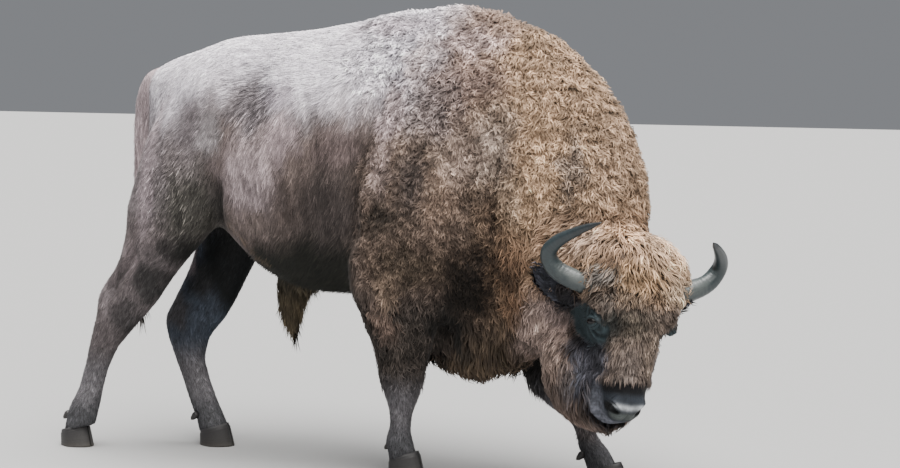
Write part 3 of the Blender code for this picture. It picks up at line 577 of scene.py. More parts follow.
# on the face: middle on x and z of the head's frame, reach, colour and strength
faceMarkings = {
    "palePoll": ((0.18, 0.145), (0.075, 0.065), (0.7, 0.5, 0.375), 0.88),
    "goldenPoll": ((0.02, 0.18), (0.08, 0.06), (0.46, 0.28, 0.165), 0.7),
    "leftCrown": ((-0.075, 0.11), (0.095, 0.085), (0.68, 0.46, 0.305), 0.9),
    "leftBrow": ((-0.125, 0.005), (0.06, 0.06), (0.69, 0.51, 0.36), 0.9),
    "darkCurls": ((0.1, 0.095), (0.055, 0.035), (0.19, 0.118, 0.075), 0.85),
    "goldenCurls": ((0.02, 0.04), (0.08, 0.045), (0.45, 0.29, 0.172), 0.85),
    "greyCurls": ((0.12, 0.04), (0.045, 0.035), (0.235, 0.215, 0.2), 0.8),
    "rightBrow": ((0.13, -0.04), (0.06, 0.035), (0.092, 0.073, 0.06), 0.9),
    "middleBrow": ((0.03, -0.035), (0.06, 0.032), (0.25, 0.178, 0.126), 0.78),
    "greyForehead": ((0.03, -0.125), (0.1, 0.055), (0.084, 0.068, 0.052), 0.92),
    "rightForehead": ((0.1, -0.145), (0.045, 0.07), (0.034, 0.036, 0.034), 0.88),
    "leftNose": ((-0.065, -0.23), (0.04, 0.09), (0.28, 0.215, 0.17), 0.8),
    "middleNose": ((0.02, -0.27), (0.05, 0.08), (0.135, 0.108, 0.095), 0.7),
}

# on the cheeks: middle on y and z of the head's frame, and the rest as above
cheekMarkings = {
    "rear": ((-0.24, -0.14), (0.095, 0.12), (0.38, 0.28, 0.24), 0.88),
    "low": ((-0.22, -0.28), (0.08, 0.08), (0.205, 0.15, 0.124), 0.8),
    "behindEye": ((-0.175, -0.115), (0.045, 0.055), (0.215, 0.16, 0.148), 0.8),
    "earRoot": ((-0.16, 0.03), (0.05, 0.04), (0.13, 0.09, 0.048), 0.8),
    "jaw": ((-0.135, -0.34), (0.05, 0.06), (0.07, 0.064, 0.066), 0.7),
}


def marked(colour, first, second, markings, cover):
    # lays each marking over the colour where the two measures lie within its reach
    for middle, reach, tint, strength in markings.values():
        away = inOval(first, second, middle, reach)
        colour = mix(colour, tint, cover * strength * smooth(1.35, 0.35, away))
    return colour


def tinted(colour, name, weight):
    # one of the coat's colours laid over the one so far
    return mix(colour, coatColours[name], weight)


def fromEye(local):
    # how far out in the eye's socket each place lies, 1 on the socket's edge
    return inOval(local[:, 1], local[:, 2], eyeSizes["socket"], eyeSizes["socketReach"])


def eyeFolds(local):
    # creases that ring the eye: 1 on a fold, -1 between two, fading out over the cheek
    away = fromEye(local)
    return np.sin(away * 13.0) * smooth(1.7, 1.0, away) * smooth(0.45, 0.7, away)


def flankFringe(points):
    # the pale hair on the lower edge of the fold in front of the thigh
    x, y, z = points.T
    near = np.full(len(points), 1e9)
    for spot in alongCurve([(-0.545, 0.935), (-0.5, 0.89), (-0.44, 0.84), (-0.37, 0.8)], 24):
        near = np.minimum(near, np.hypot(x - spot[0], z - spot[1]))
    return smooth(0.026, 0.006, near) * smooth(0.05, 0.12, np.abs(y - bodyMiddle))


def nostrilRing(local):
    # 1 on the rim of the nostrils' slanting slits, 0 in their middle
    angle = math.radians(noseSizes["turn"])
    px, pz = np.abs(local[:, 0]) - noseSizes["place"][0], local[:, 2] - noseSizes["place"][2]
    short = (px * math.cos(angle) + pz * math.sin(angle)) / noseSizes["short"]
    long = (-px * math.sin(angle) + pz * math.cos(angle)) / noseSizes["long"]
    return np.hypot(short + 0.25 * long ** 2, long)


def bodyColour(points, masks):
    # the regions' colours, the back's pale grey painted sheen, the markings with their painted light and
    # shade, and the black on the legs
    colour = np.tile(coatColours["flank"], (len(points), 1)).astype(float)
    for region in coverOrder:
        colour = tinted(colour, region, masks[region])
    x, y, z = points.T
    body = (1 - masks["head"]) * (1 - masks["tail"]) * (1 - masks["foreLeft"])
    ragged = points + 0.02 * np.stack([swell(points, 0.1, 17), 0 * x, swell(points, 0.1, 18)], axis=1)
    # painted sheen: the upper sides, from withers to rump, are painted a pale grey that stands in for the
    # sky's sheen on the sleek hair
    level = ragged[:, 2] - 0.05 * smooth(-0.25, -0.55, x) + 0.08 * smooth(-0.64, -0.82, x)
    paintedSheen = smooth(1.26, 1.53, level) * smooth(0.46, 0.2, ragged[:, 0]) * body * (1 - masks["legs"])
    colour = tinted(colour, "back", paintedSheen)
    sides = body * smooth(0.0, 0.07, np.abs(y - bodyMiddle))
    colour = marked(colour, ragged[:, 0], ragged[:, 2], coatMarkingsAndPaintedLight, sides)
    colour = tinted(colour, "lowLeg", masks["legs"] * smooth(0.46, 0.3, z))
    # painted shade: black runs down the front of the left hind leg, which stands in the body's shadow, and
    # all four legs darken over the hooves
    front = smooth(-0.87, -0.8, x - 0.35 * (0.63 - z)) * smooth(0.3, 0.42, z)
    colour = tinted(colour, "hindLeftShade", 0.95 * masks["hindLeft"] * front)
    return tinted(colour, "overHoof", 0.8 * masks["legs"] * smooth(0.25, 0.13, z))


def headColour(colour, points, masks):
    # laid over the body's colour: the crown, the face's markings, the eye and the muzzle
    local = toHead(points)
    hx, hy, hz = local.T
    side = np.abs(hx)
    # the crown's pale hair turns golden and then brown between the horns, with darker curls in it
    front = smooth(-0.06, 0.02, hy)
    level = hz + 0.03 * swell(points, 0.09, 13) - 0.3 * side
    curls = 0.9 * smooth(-0.2, 0.7, swell(points, 0.045, 19)) + 0.3
    golden = masks["crown"] * front * smooth(0.125, 0.055, level)
    colour = tinted(colour, "curls", golden * np.clip(curls, 0, 1))
    colour = tinted(colour, "brow", masks["crown"] * front * smooth(0.035, -0.025, level))
    wander = 0.01 * swell(points, 0.05, 20)
    colour = marked(colour, hx + wander, hz - wander, faceMarkings, masks["head"] * smooth(-0.16, -0.06, hy))
    colour = marked(colour, hy + wander, hz - wander, cheekMarkings, masks["head"] * smooth(0.06, 0.11, side))
    speck = masks["crown"] * smooth(0.1, 0.9, swell(points, 0.032, 22))
    colour = colour * np.exp(-0.9 * speck)[:, None]
    # between cheek and nose the face is nearly black, and the hollow round the ear is painted black as shade
    smudge = inBall(local, (0.105, -0.062, -0.272), (0.068, 0.125, 0.115)) + 0.25 * swell(points, 0.05, 14)
    colour = tinted(colour, "smudge", 0.9 * masks["head"] * smooth(1.2, 0.6, smudge))
    hollow = inBall(local, (0.19, -0.105, -0.045), (0.09, 0.075, 0.055))
    colour = tinted(colour, "dark", 0.95 * smooth(1.2, 0.85, hollow) * smooth(0.11, 0.14, side))
    # the folds round the eye are painted paler on each fold as highlight and darker between them as shade
    patch = np.exp(0.5 * eyeFolds(local) + 0.25 * swell(points, 0.03, 24))[:, None]
    colour = mix(colour, np.array(coatColours["eye"]) * patch, masks["eye"])
    colour = tinted(colour, "muzzle", masks["muzzle"])
    # painted shadow makes the muzzle black under the overhanging hair; the lip is paler, and the damp line
    # between the nostrils is painted pale as a highlight on the wet skin
    plate = masks["muzzle"] * smooth(0.0, 0.03, hy)
    mottle = 0.7 + 0.6 * smooth(-0.9, 0.9, swell(points, 0.018, 25))
    colour = mix(colour, np.array(coatColours["nose"]) * mottle[:, None],
                 0.85 * masks["muzzle"] * smooth(0.01, -0.035, hy))
    colour = mix(colour, np.array(coatColours["dark"]) * 0.25,
                 masks["muzzle"] * smooth(-0.4, -0.372, hz) * smooth(-0.03, 0.02, hy))
    colour = tinted(colour, "lip", plate * smooth(0.075, 0.055, side) * smooth(-0.445, -0.46, hz))
    damp = np.exp(-((hz - noseSizes["damp"] - 0.1 * side) / 0.01) ** 2) * smooth(0.062, 0.045, side)
    colour = tinted(colour, "damp", plate * damp * 0.85)
    # the nostrils' slits are painted nearly black, as shade inside them
    inNostril = smooth(1.15, 0.8, nostrilRing(local)) * (hy > 0)
    return colour * (1 - 0.95 * masks["muzzle"] * inNostril)[:, None]


def coatColour(points, masks):
    # the whole coat's colour, unevened by soft patches and streaks, with painted shade in the hollows and the
    # wool's cracks and painted highlight on the forms' ridges
    colour = headColour(bodyColour(points, masks), points, masks)
    fringe = 0.5 * flankFringe(points) * smooth(-0.5, 0.5, swell(points, 0.05, 23))
    colour = tinted(colour, "fringe", fringe)
    woolly = np.max([masks[k] for k in ("shoulder", "neck", "hump", "head")], axis=0)
    patches = 0.08 * swell(points, 0.35, 11) + (0.09 + 0.07 * woolly) * swell(points, 0.11, 12)
    patches += (0.1 + 0.08 * woolly) * swell(points, 0.045, 15)
    # hair lies in fine streaks down the flank
    flank = smooth(-0.6, -0.45, points[:, 0]) * smooth(0.12, 0.0, points[:, 0])
    flank = flank * (1 - masks["belly"]) * (1 - masks["back"])
    patches += 0.16 * flank * swell(slanted(points, 0.28), 0.03, 16, (1.0, 0.4, 0.1))
    # painted shade from the forms under the coat and in the wool's cracks
    shade = addForms(points)[1] * (1 - masks["head"])
    cracks = 0.12 + 0.88 * woolWaves(points)
    return colour * (np.exp(patches) * (1 - shade) * cracks)[:, None]


# the way the hair points, region after region
coatWays = {"back": (-1.0, 0.0, -0.25), "rump": (-0.45, 0.0, -0.9), "shoulder": (-0.2, 0.0, -1.0),
            "hump": (-0.5, 0.0, -0.8), "neck": (0.1, 0.0, -1.0), "mane": (0.05, 0.0, -1.0),
            "belly": (-0.7, 0.0, -0.5), "brisket": (0.0, 0.0, -1.0)}
flankWay, fallingWay, fringeWay = (-0.28, 0.0, -1.0), (0.0, 0.0, -1.0), (-0.75, 0.0, -0.65)


def coatLie(points, normals, masks):
    # those directions, the legs' own and the head's, mixed and laid flat on the skin
    z = points[:, 2]
    hx, hy, hz = toHead(points).T
    none = 0.0 * hx
    lie = np.tile(flankWay, (len(points), 1))
    for name, way in coatWays.items():
        lie = mix(lie, way, masks[name])
    for name in legLines:
        lie = mix(lie, masks["runs"][name], masks[name])
    for name in ("tail", "tailTuft", "sheath"):
        lie = mix(lie, fallingWay, masks[name])
    headWays = {
        "head": (none, none - 0.45, none - 0.9),
        "crown": (5.0 * (hx - 0.035), 0.3 + 0.5 * hy, -0.55 - 0.8 * np.abs(hz - 0.12)),
        "face": (1.2 * hx + 0.25 * np.sign(hx) * smooth(0.02, 0.08, np.abs(hx)), none, none - 1.0),
        "cheek": (none, none - 0.45, none - 0.9),
        "beard": (-0.5 * hx, none + 0.1, none - 1.0)}
    for name, way in headWays.items():
        lie = mix(lie, np.stack(way, axis=1) @ headTurn.T, masks[name])
    away = np.stack([none, hy - 0.04, hz + 0.135], axis=1)
    lie = mix(lie, unit(away) @ headTurn.T, 0.8 * masks["eye"])
    # the fringe behind the left forearm points backwards
    lie = mix(unit(lie), fringeWay, 0.8 * masks["foreLeft"] * smooth(0.36, 0.44, z))
    lie = lie - normals * (lie * normals).sum(axis=1, keepdims=True)
    return unit(lie + 1e-4)


# for each region, in metres but for the last: depth is how far the skin lies under the coat's
# tips, long and wide are a tuft's size, curl is how far it waves, droop is how much it hangs free
sizeKinds = ("depth", "long", "wide", "curl", "droop")
coatSizes = {
    "flank": (0.008, 0.034, 0.0042, 0.0, 0.0), "back": (0.008, 0.026, 0.004, 0.0, 0.0),
    "rump": (0.008, 0.024, 0.004, 0.0, 0.0), "shoulder": (0.014, 0.023, 0.0042, 0.0042, 0.0),
    "hump": (0.02, 0.025, 0.0044, 0.0056, 0.0), "neck": (0.022, 0.027, 0.0044, 0.0058, 0.0),
    "mane": (0.028, 0.07, 0.005, 0.005, 0.1), "belly": (0.016, 0.045, 0.006, 0.001, 0.3),
    "brisket": (0.05, 0.08, 0.007, 0.007, 0.35), "foreRight": (0.02, 0.045, 0.0048, 0.004, 0.2),
    "foreLeft": (0.032, 0.095, 0.007, 0.006, 0.3), "hindRight": (0.008, 0.026, 0.0042, 0.0, 0.0),
    "hindLeft": (0.008, 0.026, 0.0042, 0.0, 0.0), "tail": (0.008, 0.045, 0.0044, 0.001, 0.2),
    "tailTuft": (0.014, 0.15, 0.006, 0.006, 0.9), "sheath": (0.016, 0.075, 0.0055, 0.005, 0.9),
    "head": (0.024, 0.045, 0.0044, 0.004, 0.0), "cheek": (0.03, 0.055, 0.0046, 0.0045, 0.15),
    "face": (0.016, 0.04, 0.0036, 0.0016, 0.0), "forehead": (0.018, 0.027, 0.0036, 0.0028, 0.0),
    "beard": (0.036, 0.07, 0.0052, 0.004, 0.25), "crown": (0.04, 0.052, 0.0046, 0.0062, 0.0),
    "eye": (0.014, 0.01, 0.0026, 0.0003, 0.0), "muzzle": (0.001, 0.008, 0.002, 0.0002, 0.0),
}
lowLegSizes = (0.005, 0.016, 0.0036, 0.0, 0.0)


def coatMeasure(masks, kind, points):
    # one of the sizes at each point, blended over the regions
    column = sizeKinds.index(kind)
    value = np.full(len(points), coatSizes["flank"][column])
    for region, sizes in coatSizes.items():
        if region != "flank":
            value = mix(value, sizes[column], masks[region])
    if kind == "long":
        value = value * (0.35 + 0.65 * woolWaves(points))
    low = masks["legs"] * smooth(0.44, 0.26, points[:, 2])
    return mix(value, lowLegSizes[column], low)


# materials are built from these few steps
def newGroup(name, inputs, outputs):
    # an effect that several materials share, with its named sockets
    group = bpy.data.node_groups.new(name, "ShaderNodeTree")
    for label, kind, value in inputs:
        socket = group.interface.new_socket(label, in_out="INPUT", socket_type=kind)
        socket.default_value = value
    for label, kind in outputs:
        group.interface.new_socket(label, in_out="OUTPUT", socket_type=kind)
    return group, group.nodes.new("NodeGroupInput"), group.nodes.new("NodeGroupOutput")


def objectPlace(tree):
    return tree.nodes.new("ShaderNodeTexCoord").outputs["Object"]


def addNoise(tree, vector, scale, detail, roughness):
    noise = tree.nodes.new("ShaderNodeTexNoise")
    noise.inputs["Scale"].default_value = scale
    noise.inputs["Detail"].default_value = detail
    noise.inputs["Roughness"].default_value = roughness
    tree.links.new(vector, noise.inputs["Vector"])
    return noise.outputs["Fac"]


def addLines(tree, along, scale, detail):
    # growth lines: noise that changes only along the piece
    lines = tree.nodes.new("ShaderNodeTexNoise")
    lines.noise_dimensions = "1D"
    lines.inputs["Scale"].default_value = scale
    lines.inputs["Detail"].default_value = detail
    tree.links.new(along, lines.inputs["W"])
    return lines.outputs["Fac"]


def addRange(tree, value, low, high, toLow, toHigh):
    node = tree.nodes.new("ShaderNodeMapRange")
    limits = {"From Min": low, "From Max": high, "To Min": toLow, "To Max": toHigh}
    for label, number in limits.items():
        node.inputs[label].default_value = number
    tree.links.new(value, node.inputs["Value"])
    return node.outputs["Result"]


def addMath(tree, operation, first, second):
    node = tree.nodes.new("ShaderNodeMath")
    node.operation = operation
    for socket, value in zip(node.inputs, (first, second)):
        if isinstance(value, (int, float)):
            socket.default_value = value
        else:
            tree.links.new(value, socket)
    return node.outputs[0]


def addShares(tree, first, second, share):
    # the first by its share and the second by the rest
    return addMath(tree, "ADD", addMath(tree, "MULTIPLY", first, share),
                   addMath(tree, "MULTIPLY", second, 1.0 - share))


def addTint(tree, colour, factor):
    # the colour, brighter or darker by the factor
    node = tree.nodes.new("ShaderNodeVectorMath")
    node.operation = "SCALE"
    tree.links.new(colour, node.inputs[0])
    tree.links.new(factor, node.inputs["Scale"])
    return node.outputs[0]


def makeStrandGroup():
    # fine strands: noise drawn out along the mostly upright lie, as a tint and as a height
    group, source, result = newGroup(
        "hairStrands",
        [("Color", "NodeSocketColor", (0.2, 0.15, 0.1, 1)), ("Fineness", "NodeSocketFloat", 1.0),
         ("Contrast", "NodeSocketFloat", 0.3)],
        [("Color", "NodeSocketColor"), ("Height", "NodeSocketFloat")])
    drawn = group.nodes.new("ShaderNodeMapping")
    drawn.inputs["Scale"].default_value = (1.0, 1.0, 0.22)
    group.links.new(objectPlace(group), drawn.inputs["Vector"])
    finer = group.nodes.new("ShaderNodeVectorMath")
    finer.operation = "SCALE"
    group.links.new(drawn.outputs["Vector"], finer.inputs[0])
    group.links.new(source.outputs["Fineness"], finer.inputs["Scale"])
    strands = addNoise(group, finer.outputs[0], 260.0, 4.0, 0.6)
    locks = addNoise(group, finer.outputs[0], 60.0, 3.0, 0.55)
    both = addShares(group, strands, locks, 0.6)
    centred = addMath(group, "SUBTRACT", both, 0.5)
    amount = addMath(group, "MULTIPLY", centred, source.outputs["Contrast"])
    factor = addMath(group, "ADD", addMath(group, "MULTIPLY", amount, 4.0), 1.0)
    group.links.new(addTint(group, source.outputs["Color"], factor), result.inputs["Color"])
    group.links.new(both, result.inputs["Height"])
    return group


strandGroup = makeStrandGroup()

# roughness, how fine the strands are and how far they show in colour and height, and the pale
# bloom of the hair seen from aside, for each kind of coat
coatFinishes = {
    "coatShort": {"roughness": 0.62, "fineness": 1.0, "contrast": 0.42, "bump": 0.4, "sheen": 0.02},
    "coatWool": {"roughness": 0.82, "fineness": 0.8, "contrast": 0.3, "bump": 0.3, "sheen": 0.04},
    "coatLong": {"roughness": 0.7, "fineness": 0.9, "contrast": 0.36, "bump": 0.3, "sheen": 0.03},
}


def newMaterial(name, **constants):
    # the shader's sockets are named with _ for each space
    material = bpy.data.materials.new(name)
    material.use_nodes = True
    shader = material.node_tree.nodes["Principled BSDF"]
    for label, value in constants.items():
        shader.inputs[label.replace("_", " ")].default_value = value
    return material, material.node_tree, shader


def addBump(tree, shader, height, strength, distance):
    bump = tree.nodes.new("ShaderNodeBump")
    bump.inputs["Strength"].default_value = strength
    bump.inputs["Distance"].default_value = distance
    tree.links.new(height, bump.inputs["Height"])
    tree.links.new(bump.outputs["Normal"], shader.inputs["Normal"])


def addAttribute(tree, name):
    node = tree.nodes.new("ShaderNodeAttribute")
    node.attribute_name = name
    return node


def addStrands(tree, colour, fineness, contrast):
    strands = tree.nodes.new("ShaderNodeGroup")
    strands.node_tree = strandGroup
    strands.inputs["Fineness"].default_value = fineness
    strands.inputs["Contrast"].default_value = contrast
    tree.links.new(colour, strands.inputs["Color"])
    return strands


def makeCoatMaterial(name):
    # the tufts' own colour, streaked and lifted by the strands
    look = coatFinishes[name]
    material, tree, shader = newMaterial(name, Roughness=look["roughness"], Sheen_Weight=look["sheen"],
                                         Sheen_Roughness=0.5, Specular_IOR_Level=0.22)
    tone = addAttribute(tree, "tone").outputs["Color"]
    strands = addStrands(tree, tone, look["fineness"], look["contrast"])
    tree.links.new(strands.outputs["Color"], shader.inputs["Base Color"])
    addBump(tree, shader, strands.outputs["Height"], look["bump"], 0.002)
    return material


# bare and wet take so much from the roughness; pebbles are so many to a metre
skinFinish = {"roughness": 0.72, "bare": 0.1, "wet": 0.34, "specular": 0.18, "contrast": 0.4,
              "pebbles": 210.0, "bump": 0.45, "bumpHigh": 0.0016}


def addMix(tree, kind, factor, first, second):
    node = tree.nodes.new("ShaderNodeMix")
    node.data_type = kind
    for label, value in (("Factor", factor), ("A", first), ("B", second)):
        tree.links.new(value, node.inputs[label])
    return node.outputs["Result"]


def makeSkinMaterial():
    # coated skin takes the strands; bare skin is creased and, by the nostrils, damp
    material, tree, shader = newMaterial("skin", Specular_IOR_Level=skinFinish["specular"])
    tone, bare, wet = (addAttribute(tree, name) for name in ("tone", "bare", "wet"))
    strands = addStrands(tree, tone.outputs["Color"], 1.0, skinFinish["contrast"])
    cells = tree.nodes.new("ShaderNodeTexVoronoi")
    cells.feature = "DISTANCE_TO_EDGE"
    cells.inputs["Scale"].default_value = skinFinish["pebbles"]
    tree.links.new(objectPlace(tree), cells.inputs["Vector"])
    # on bare skin the grooves between the pebbles are painted darker, as shade in them
    pebbles = addRange(tree, cells.outputs["Distance"], 0.0, 0.12, 0.0, 1.0)
    textureTinted = addTint(tree, tone.outputs["Color"], addRange(tree, pebbles, 0.0, 1.0, 0.75, 1.1))
    blend = addMix(tree, "RGBA", bare.outputs["Fac"], strands.outputs["Color"], textureTinted)
    tree.links.new(blend, shader.inputs["Base Color"])
    rough = skinFinish["roughness"]
    for mask, less in ((bare, skinFinish["bare"]), (wet, skinFinish["wet"])):
        rough = addMath(tree, "SUBTRACT", rough, addMath(tree, "MULTIPLY", mask.outputs["Fac"], less))
    tree.links.new(rough, shader.inputs["Roughness"])
    height = addMix(tree, "FLOAT", bare.outputs["Fac"], strands.outputs["Height"], pebbles)
    addBump(tree, shader, height, skinFinish["bump"], skinFinish["bumpHigh"])
    return material


coatMaterials = {name: makeCoatMaterial(name) for name in coatFinishes}
skinMaterial = makeSkinMaterial()
print("coat and skin materials are ready")


# balls that fill the sockets of the horns and ears: x, y, z in the head's frame, and radius
headPlugs = [(0.105, -0.005, -0.03, 0.046), (0.15, -0.002, -0.018, 0.046), (0.19, 0.0, -0.008, 0.043),
             (0.135, -0.072, -0.055, 0.048), (0.17, -0.086, -0.054, 0.05), (0.2, -0.1, -0.05, 0.04)]
fleshNodes = ["trunk", "neck", "head", "muzzle", "beard", "foreleg_right", "foreleg_right_lower",
              "foreleg_left", "foreleg_left_lower", "hindleg_right", "hindleg_right_lower", "hindleg_left",
              "hindleg_left_lower", "tail", "tail_tuft", "sheath_tuft"]
# voxel is the mesh's step, closeCuts bridges the gaps between the solids
skinSizes = {"voxel": 0.0125, "closeCuts": 0.0005, "smoothRounds": 16, "sinkSteps": 4, "finerRounds": 2,
             "browAhead": 0.014, "browAbove": 0.014}


def readArray(source, what, width, kind=np.int32):
    # what each item of a mesh's list holds, as rows so many numbers wide
    values = np.empty(len(source) * width, kind)
    source.foreach_get(what, values)
    return values.reshape(-1, width)


def readPoints(mesh):
    return readArray(mesh.vertices, "co", 3, np.float32).astype(float)


def readTriangles(mesh):
    mesh.calc_loop_triangles()
    return readArray(mesh.loop_triangles, "vertices", 3)


def readEdges(mesh):
    return readArray(mesh.edges, "vertices", 2)


def pointNormals(points, triangles):
    # area-weighted mean of the faces round each point
    a, b, c = (points[triangles[:, i]] for i in range(3))
    face = np.cross(b - a, c - a)
    return unit(np.stack([np.bincount(triangles.ravel(), np.repeat(face[:, i], 3), len(points))
                          for i in range(3)], axis=1))


def eased(points, edges, rounds, weight=1.0, back=-0.52):
    # Taubin smoothing: each round moves a point towards its neighbours' middle, then a little
    # further back, so that the form keeps its size; with no way back it shrinks and rounds off
    a, b = edges.T
    count = np.bincount(edges.ravel(), minlength=len(points))[:, None]
    weight = np.broadcast_to(weight, len(points))[:, None]
    for step in (0.5, back) * rounds:
        total = [np.bincount(a, points[b, i], len(points)) + np.bincount(b, points[a, i], len(points))
                 for i in range(3)]
        total = np.stack(total, axis=1)
        points = points + (total / np.maximum(count, 1) - points) * step * weight
    return points


def fleshShell():
    # every flesh solid, swelled by the width of the cuts so that they close, fused into one skin
    joined = bmesh.new()
    for x, y, z, radius in headPlugs:
        for side in (1, -1):
            place = Matrix.Translation(fromHead((x * side, y, z)))
            bmesh.ops.create_icosphere(joined, subdivisions=3, radius=radius, matrix=place)
    for node in fleshNodes + ["eye_right", "eye_left"]:
        part = bmesh.new()
        part.from_mesh(frame["nodes"][node].data)
        bmesh.ops.remove_doubles(part, verts=part.verts, dist=1e-5)
        mesh = bpy.data.meshes.new("part")
        part.to_mesh(mesh)
        part.free()
        grown = readPoints(mesh)
        grown += pointNormals(grown, readTriangles(mesh)) * skinSizes["closeCuts"]
        mesh.vertices.foreach_set("co", grown.astype(np.float32).ravel())
        joined.from_mesh(mesh)
        bpy.data.meshes.remove(mesh)
    mesh = bpy.data.meshes.new("shell")
    joined.to_mesh(mesh)
    joined.free()
    shell = bpy.data.objects.new("shell", mesh)
    bpy.context.scene.collection.objects.link(shell)
    fuse = shell.modifiers.new("fuse", "REMESH")
    fuse.mode = "VOXEL"
    fuse.voxel_size = skinSizes["voxel"]
    bpy.context.view_layer.update()
    fused = bpy.data.meshes.new_from_object(shell.evaluated_get(bpy.context.evaluated_depsgraph_get()))
    bpy.data.objects.remove(shell)
    return fused


def biggestPart(points, triangles, edges):
    # drops small bubbles: points that no edge joins to the body
    label = np.arange(len(points))
    for _ in range(40):
        first, second = label[edges[:, 0]], label[edges[:, 1]]
        low = np.minimum(first, second)
        fresh = label.copy()
        np.minimum.at(fresh, np.maximum(first, second), low)
        for _ in range(6):
            fresh = fresh[fresh]
        if (fresh == label).all():
            break
        label = fresh
    body = label == np.bincount(label).argmax()
    number = np.cumsum(body) - 1
    return (points[body], number[triangles[body[triangles[:, 0]]]], number[edges[body[edges[:, 0]]]])


def orbits(points):
    # the brow stands out in front of each eye and above it
    local = toHead(points)
    ahead = inBall(local, (0.112, 0.092, -0.11), (0.036, 0.036, 0.055))
    above = inBall(local, (0.14, 0.035, -0.068), (0.045, 0.05, 0.03))
    return skinSizes["browAhead"] * np.exp(-ahead ** 2) + skinSizes["browAbove"] * np.exp(-above ** 2)


def sunkSkin():
    # smooths the facets out, then sinks the skin by the coat's depth in a few eased steps
    mesh = fleshShell()
    points, triangles, edges = biggestPart(readPoints(mesh), readTriangles(mesh), readEdges(mesh))
    masks = bodyRegions(points)
    firm = 1.0 - 0.5 * masks["muzzle"] - 0.4 * masks["legs"] * smooth(0.5, 0.3, points[:, 2])
    points = eased(points, edges, skinSizes["smoothRounds"], firm)
    depth = coatMeasure(masks, "depth", points)
    points = points + pointNormals(points, triangles) * (addForms(points)[0] * (1 - masks["head"]))[:, None]
    points = points + pointNormals(points, triangles) * (orbits(points) * masks["head"])[:, None]
    for _ in range(skinSizes["sinkSteps"]):
        points = points - pointNormals(points, triangles) * (depth / skinSizes["sinkSteps"])[:, None]
        points = eased(points, edges, 2, firm)
        points = eased(points, edges, 3, np.clip((depth - 0.03) / 0.02, 0, 1), 0.0)
    tufts = np.maximum(masks["tailTuft"], masks["sheath"])
    return eased(points, edges, 12, tufts, 0.0), triangles, edges


def withinHead(local):
    # where the mesh is split finer: round the eyes and over the muzzle
    hx, hy, hz = local.T
    side = np.abs(hx)
    eye = np.linalg.norm(np.stack([side, hy, hz], axis=1) - eyeSizes["place"], axis=1) < 0.078
    return eye | ((hz < -0.35) & (hy > -0.1) & (side < 0.11) & (hz > -0.52))


def finerHead(points, triangles):
    # cuts the edges round the eyes and on the muzzle in two, twice
    mesh = meshOf("finer", points, triangles)
    work = bmesh.new()
    work.from_mesh(mesh)
    bpy.data.meshes.remove(mesh)
    for _ in range(skinSizes["finerRounds"]):
        work.edges.ensure_lookup_table()
        ends = np.array([[v.co[:] for v in edge.verts] for edge in work.edges]).mean(axis=1)
        chosen = withinHead(toHead(ends))
        bmesh.ops.subdivide_edges(work, edges=[work.edges[i] for i in np.flatnonzero(chosen)], cuts=1)
        bmesh.ops.triangulate(work, faces=[face for face in work.faces if len(face.verts) > 3])
    mesh = bpy.data.meshes.new("skin")
    work.to_mesh(mesh)
    work.free()
    return mesh


def carvedHead(points, normals):
    # sockets and creases round the eyes, nostrils and the line of the mouth
    local = toHead(points)
    hx, hy, hz = local.T
    away = fromEye(local)
    brow = inOval(hy, hz, eyeSizes["browPlace"], eyeSizes["browReach"])
    ring = nostrilRing(local)
    move = np.zeros(len(points))
    for side in (1, -1):
        out = hx * side
        near = smooth(0.085, 0.105, out)
        move -= near * eyeSizes["socketDeep"] * np.exp(-(away / 0.55) ** 2)
        move += near * eyeSizes["foldDeep"] * eyeFolds(local)
        move += near * eyeSizes["browHigh"] * np.exp(-brow ** 2)
        front = smooth(0.02, 0.045, hy) * (out > 0.01)
        rim = noseSizes["rimHigh"] * np.exp(-((ring - 1.35) / 0.35) ** 2)
        move += front * (rim - noseSizes["deep"] * smooth(1.05, 0.55, ring))
    muzzle = smooth(-0.36, -0.39, hz) * smooth(-0.13, -0.1, hy)
    lips = (hy + 0.014 - 0.95 * (hz + 0.472)) / noseSizes["mouthWide"]
    move -= muzzle * noseSizes["mouthDeep"] * np.exp(-lips ** 2) * smooth(-0.38, -0.42, hz)
    parting = np.exp(-(hx / noseSizes["partingWide"]) ** 2)
    parting = parting * smooth(-0.405, -0.425, hz) * smooth(0.0, 0.02, hy)
    move -= noseSizes["partingDeep"] * parting
    return points + normals * move[:, None]


def unwrapped(skin, count):
    # an unwrap of the skin's own shape; each tuft takes its place on it from its root
    mesh = skin.data
    bpy.context.view_layer.objects.active = skin
    skin.select_set(True)
    mesh.uv_layers.new(name="OFBake")
    bpy.ops.object.mode_set(mode="EDIT")
    bpy.ops.mesh.select_all(action="SELECT")
    bpy.ops.uv.smart_project(angle_limit=math.radians(70), island_margin=0.001)
    bpy.ops.object.mode_set(mode="OBJECT")
    skin.select_set(False)
    corner = readArray(mesh.loops, "vertex_index", 1).ravel()
    unwrap = np.zeros((len(mesh.vertices), 2))
    unwrap[corner] = readArray(mesh.uv_layers["OFBake"].uv, "vector", 2, np.float32)
    return unwrap[:count]


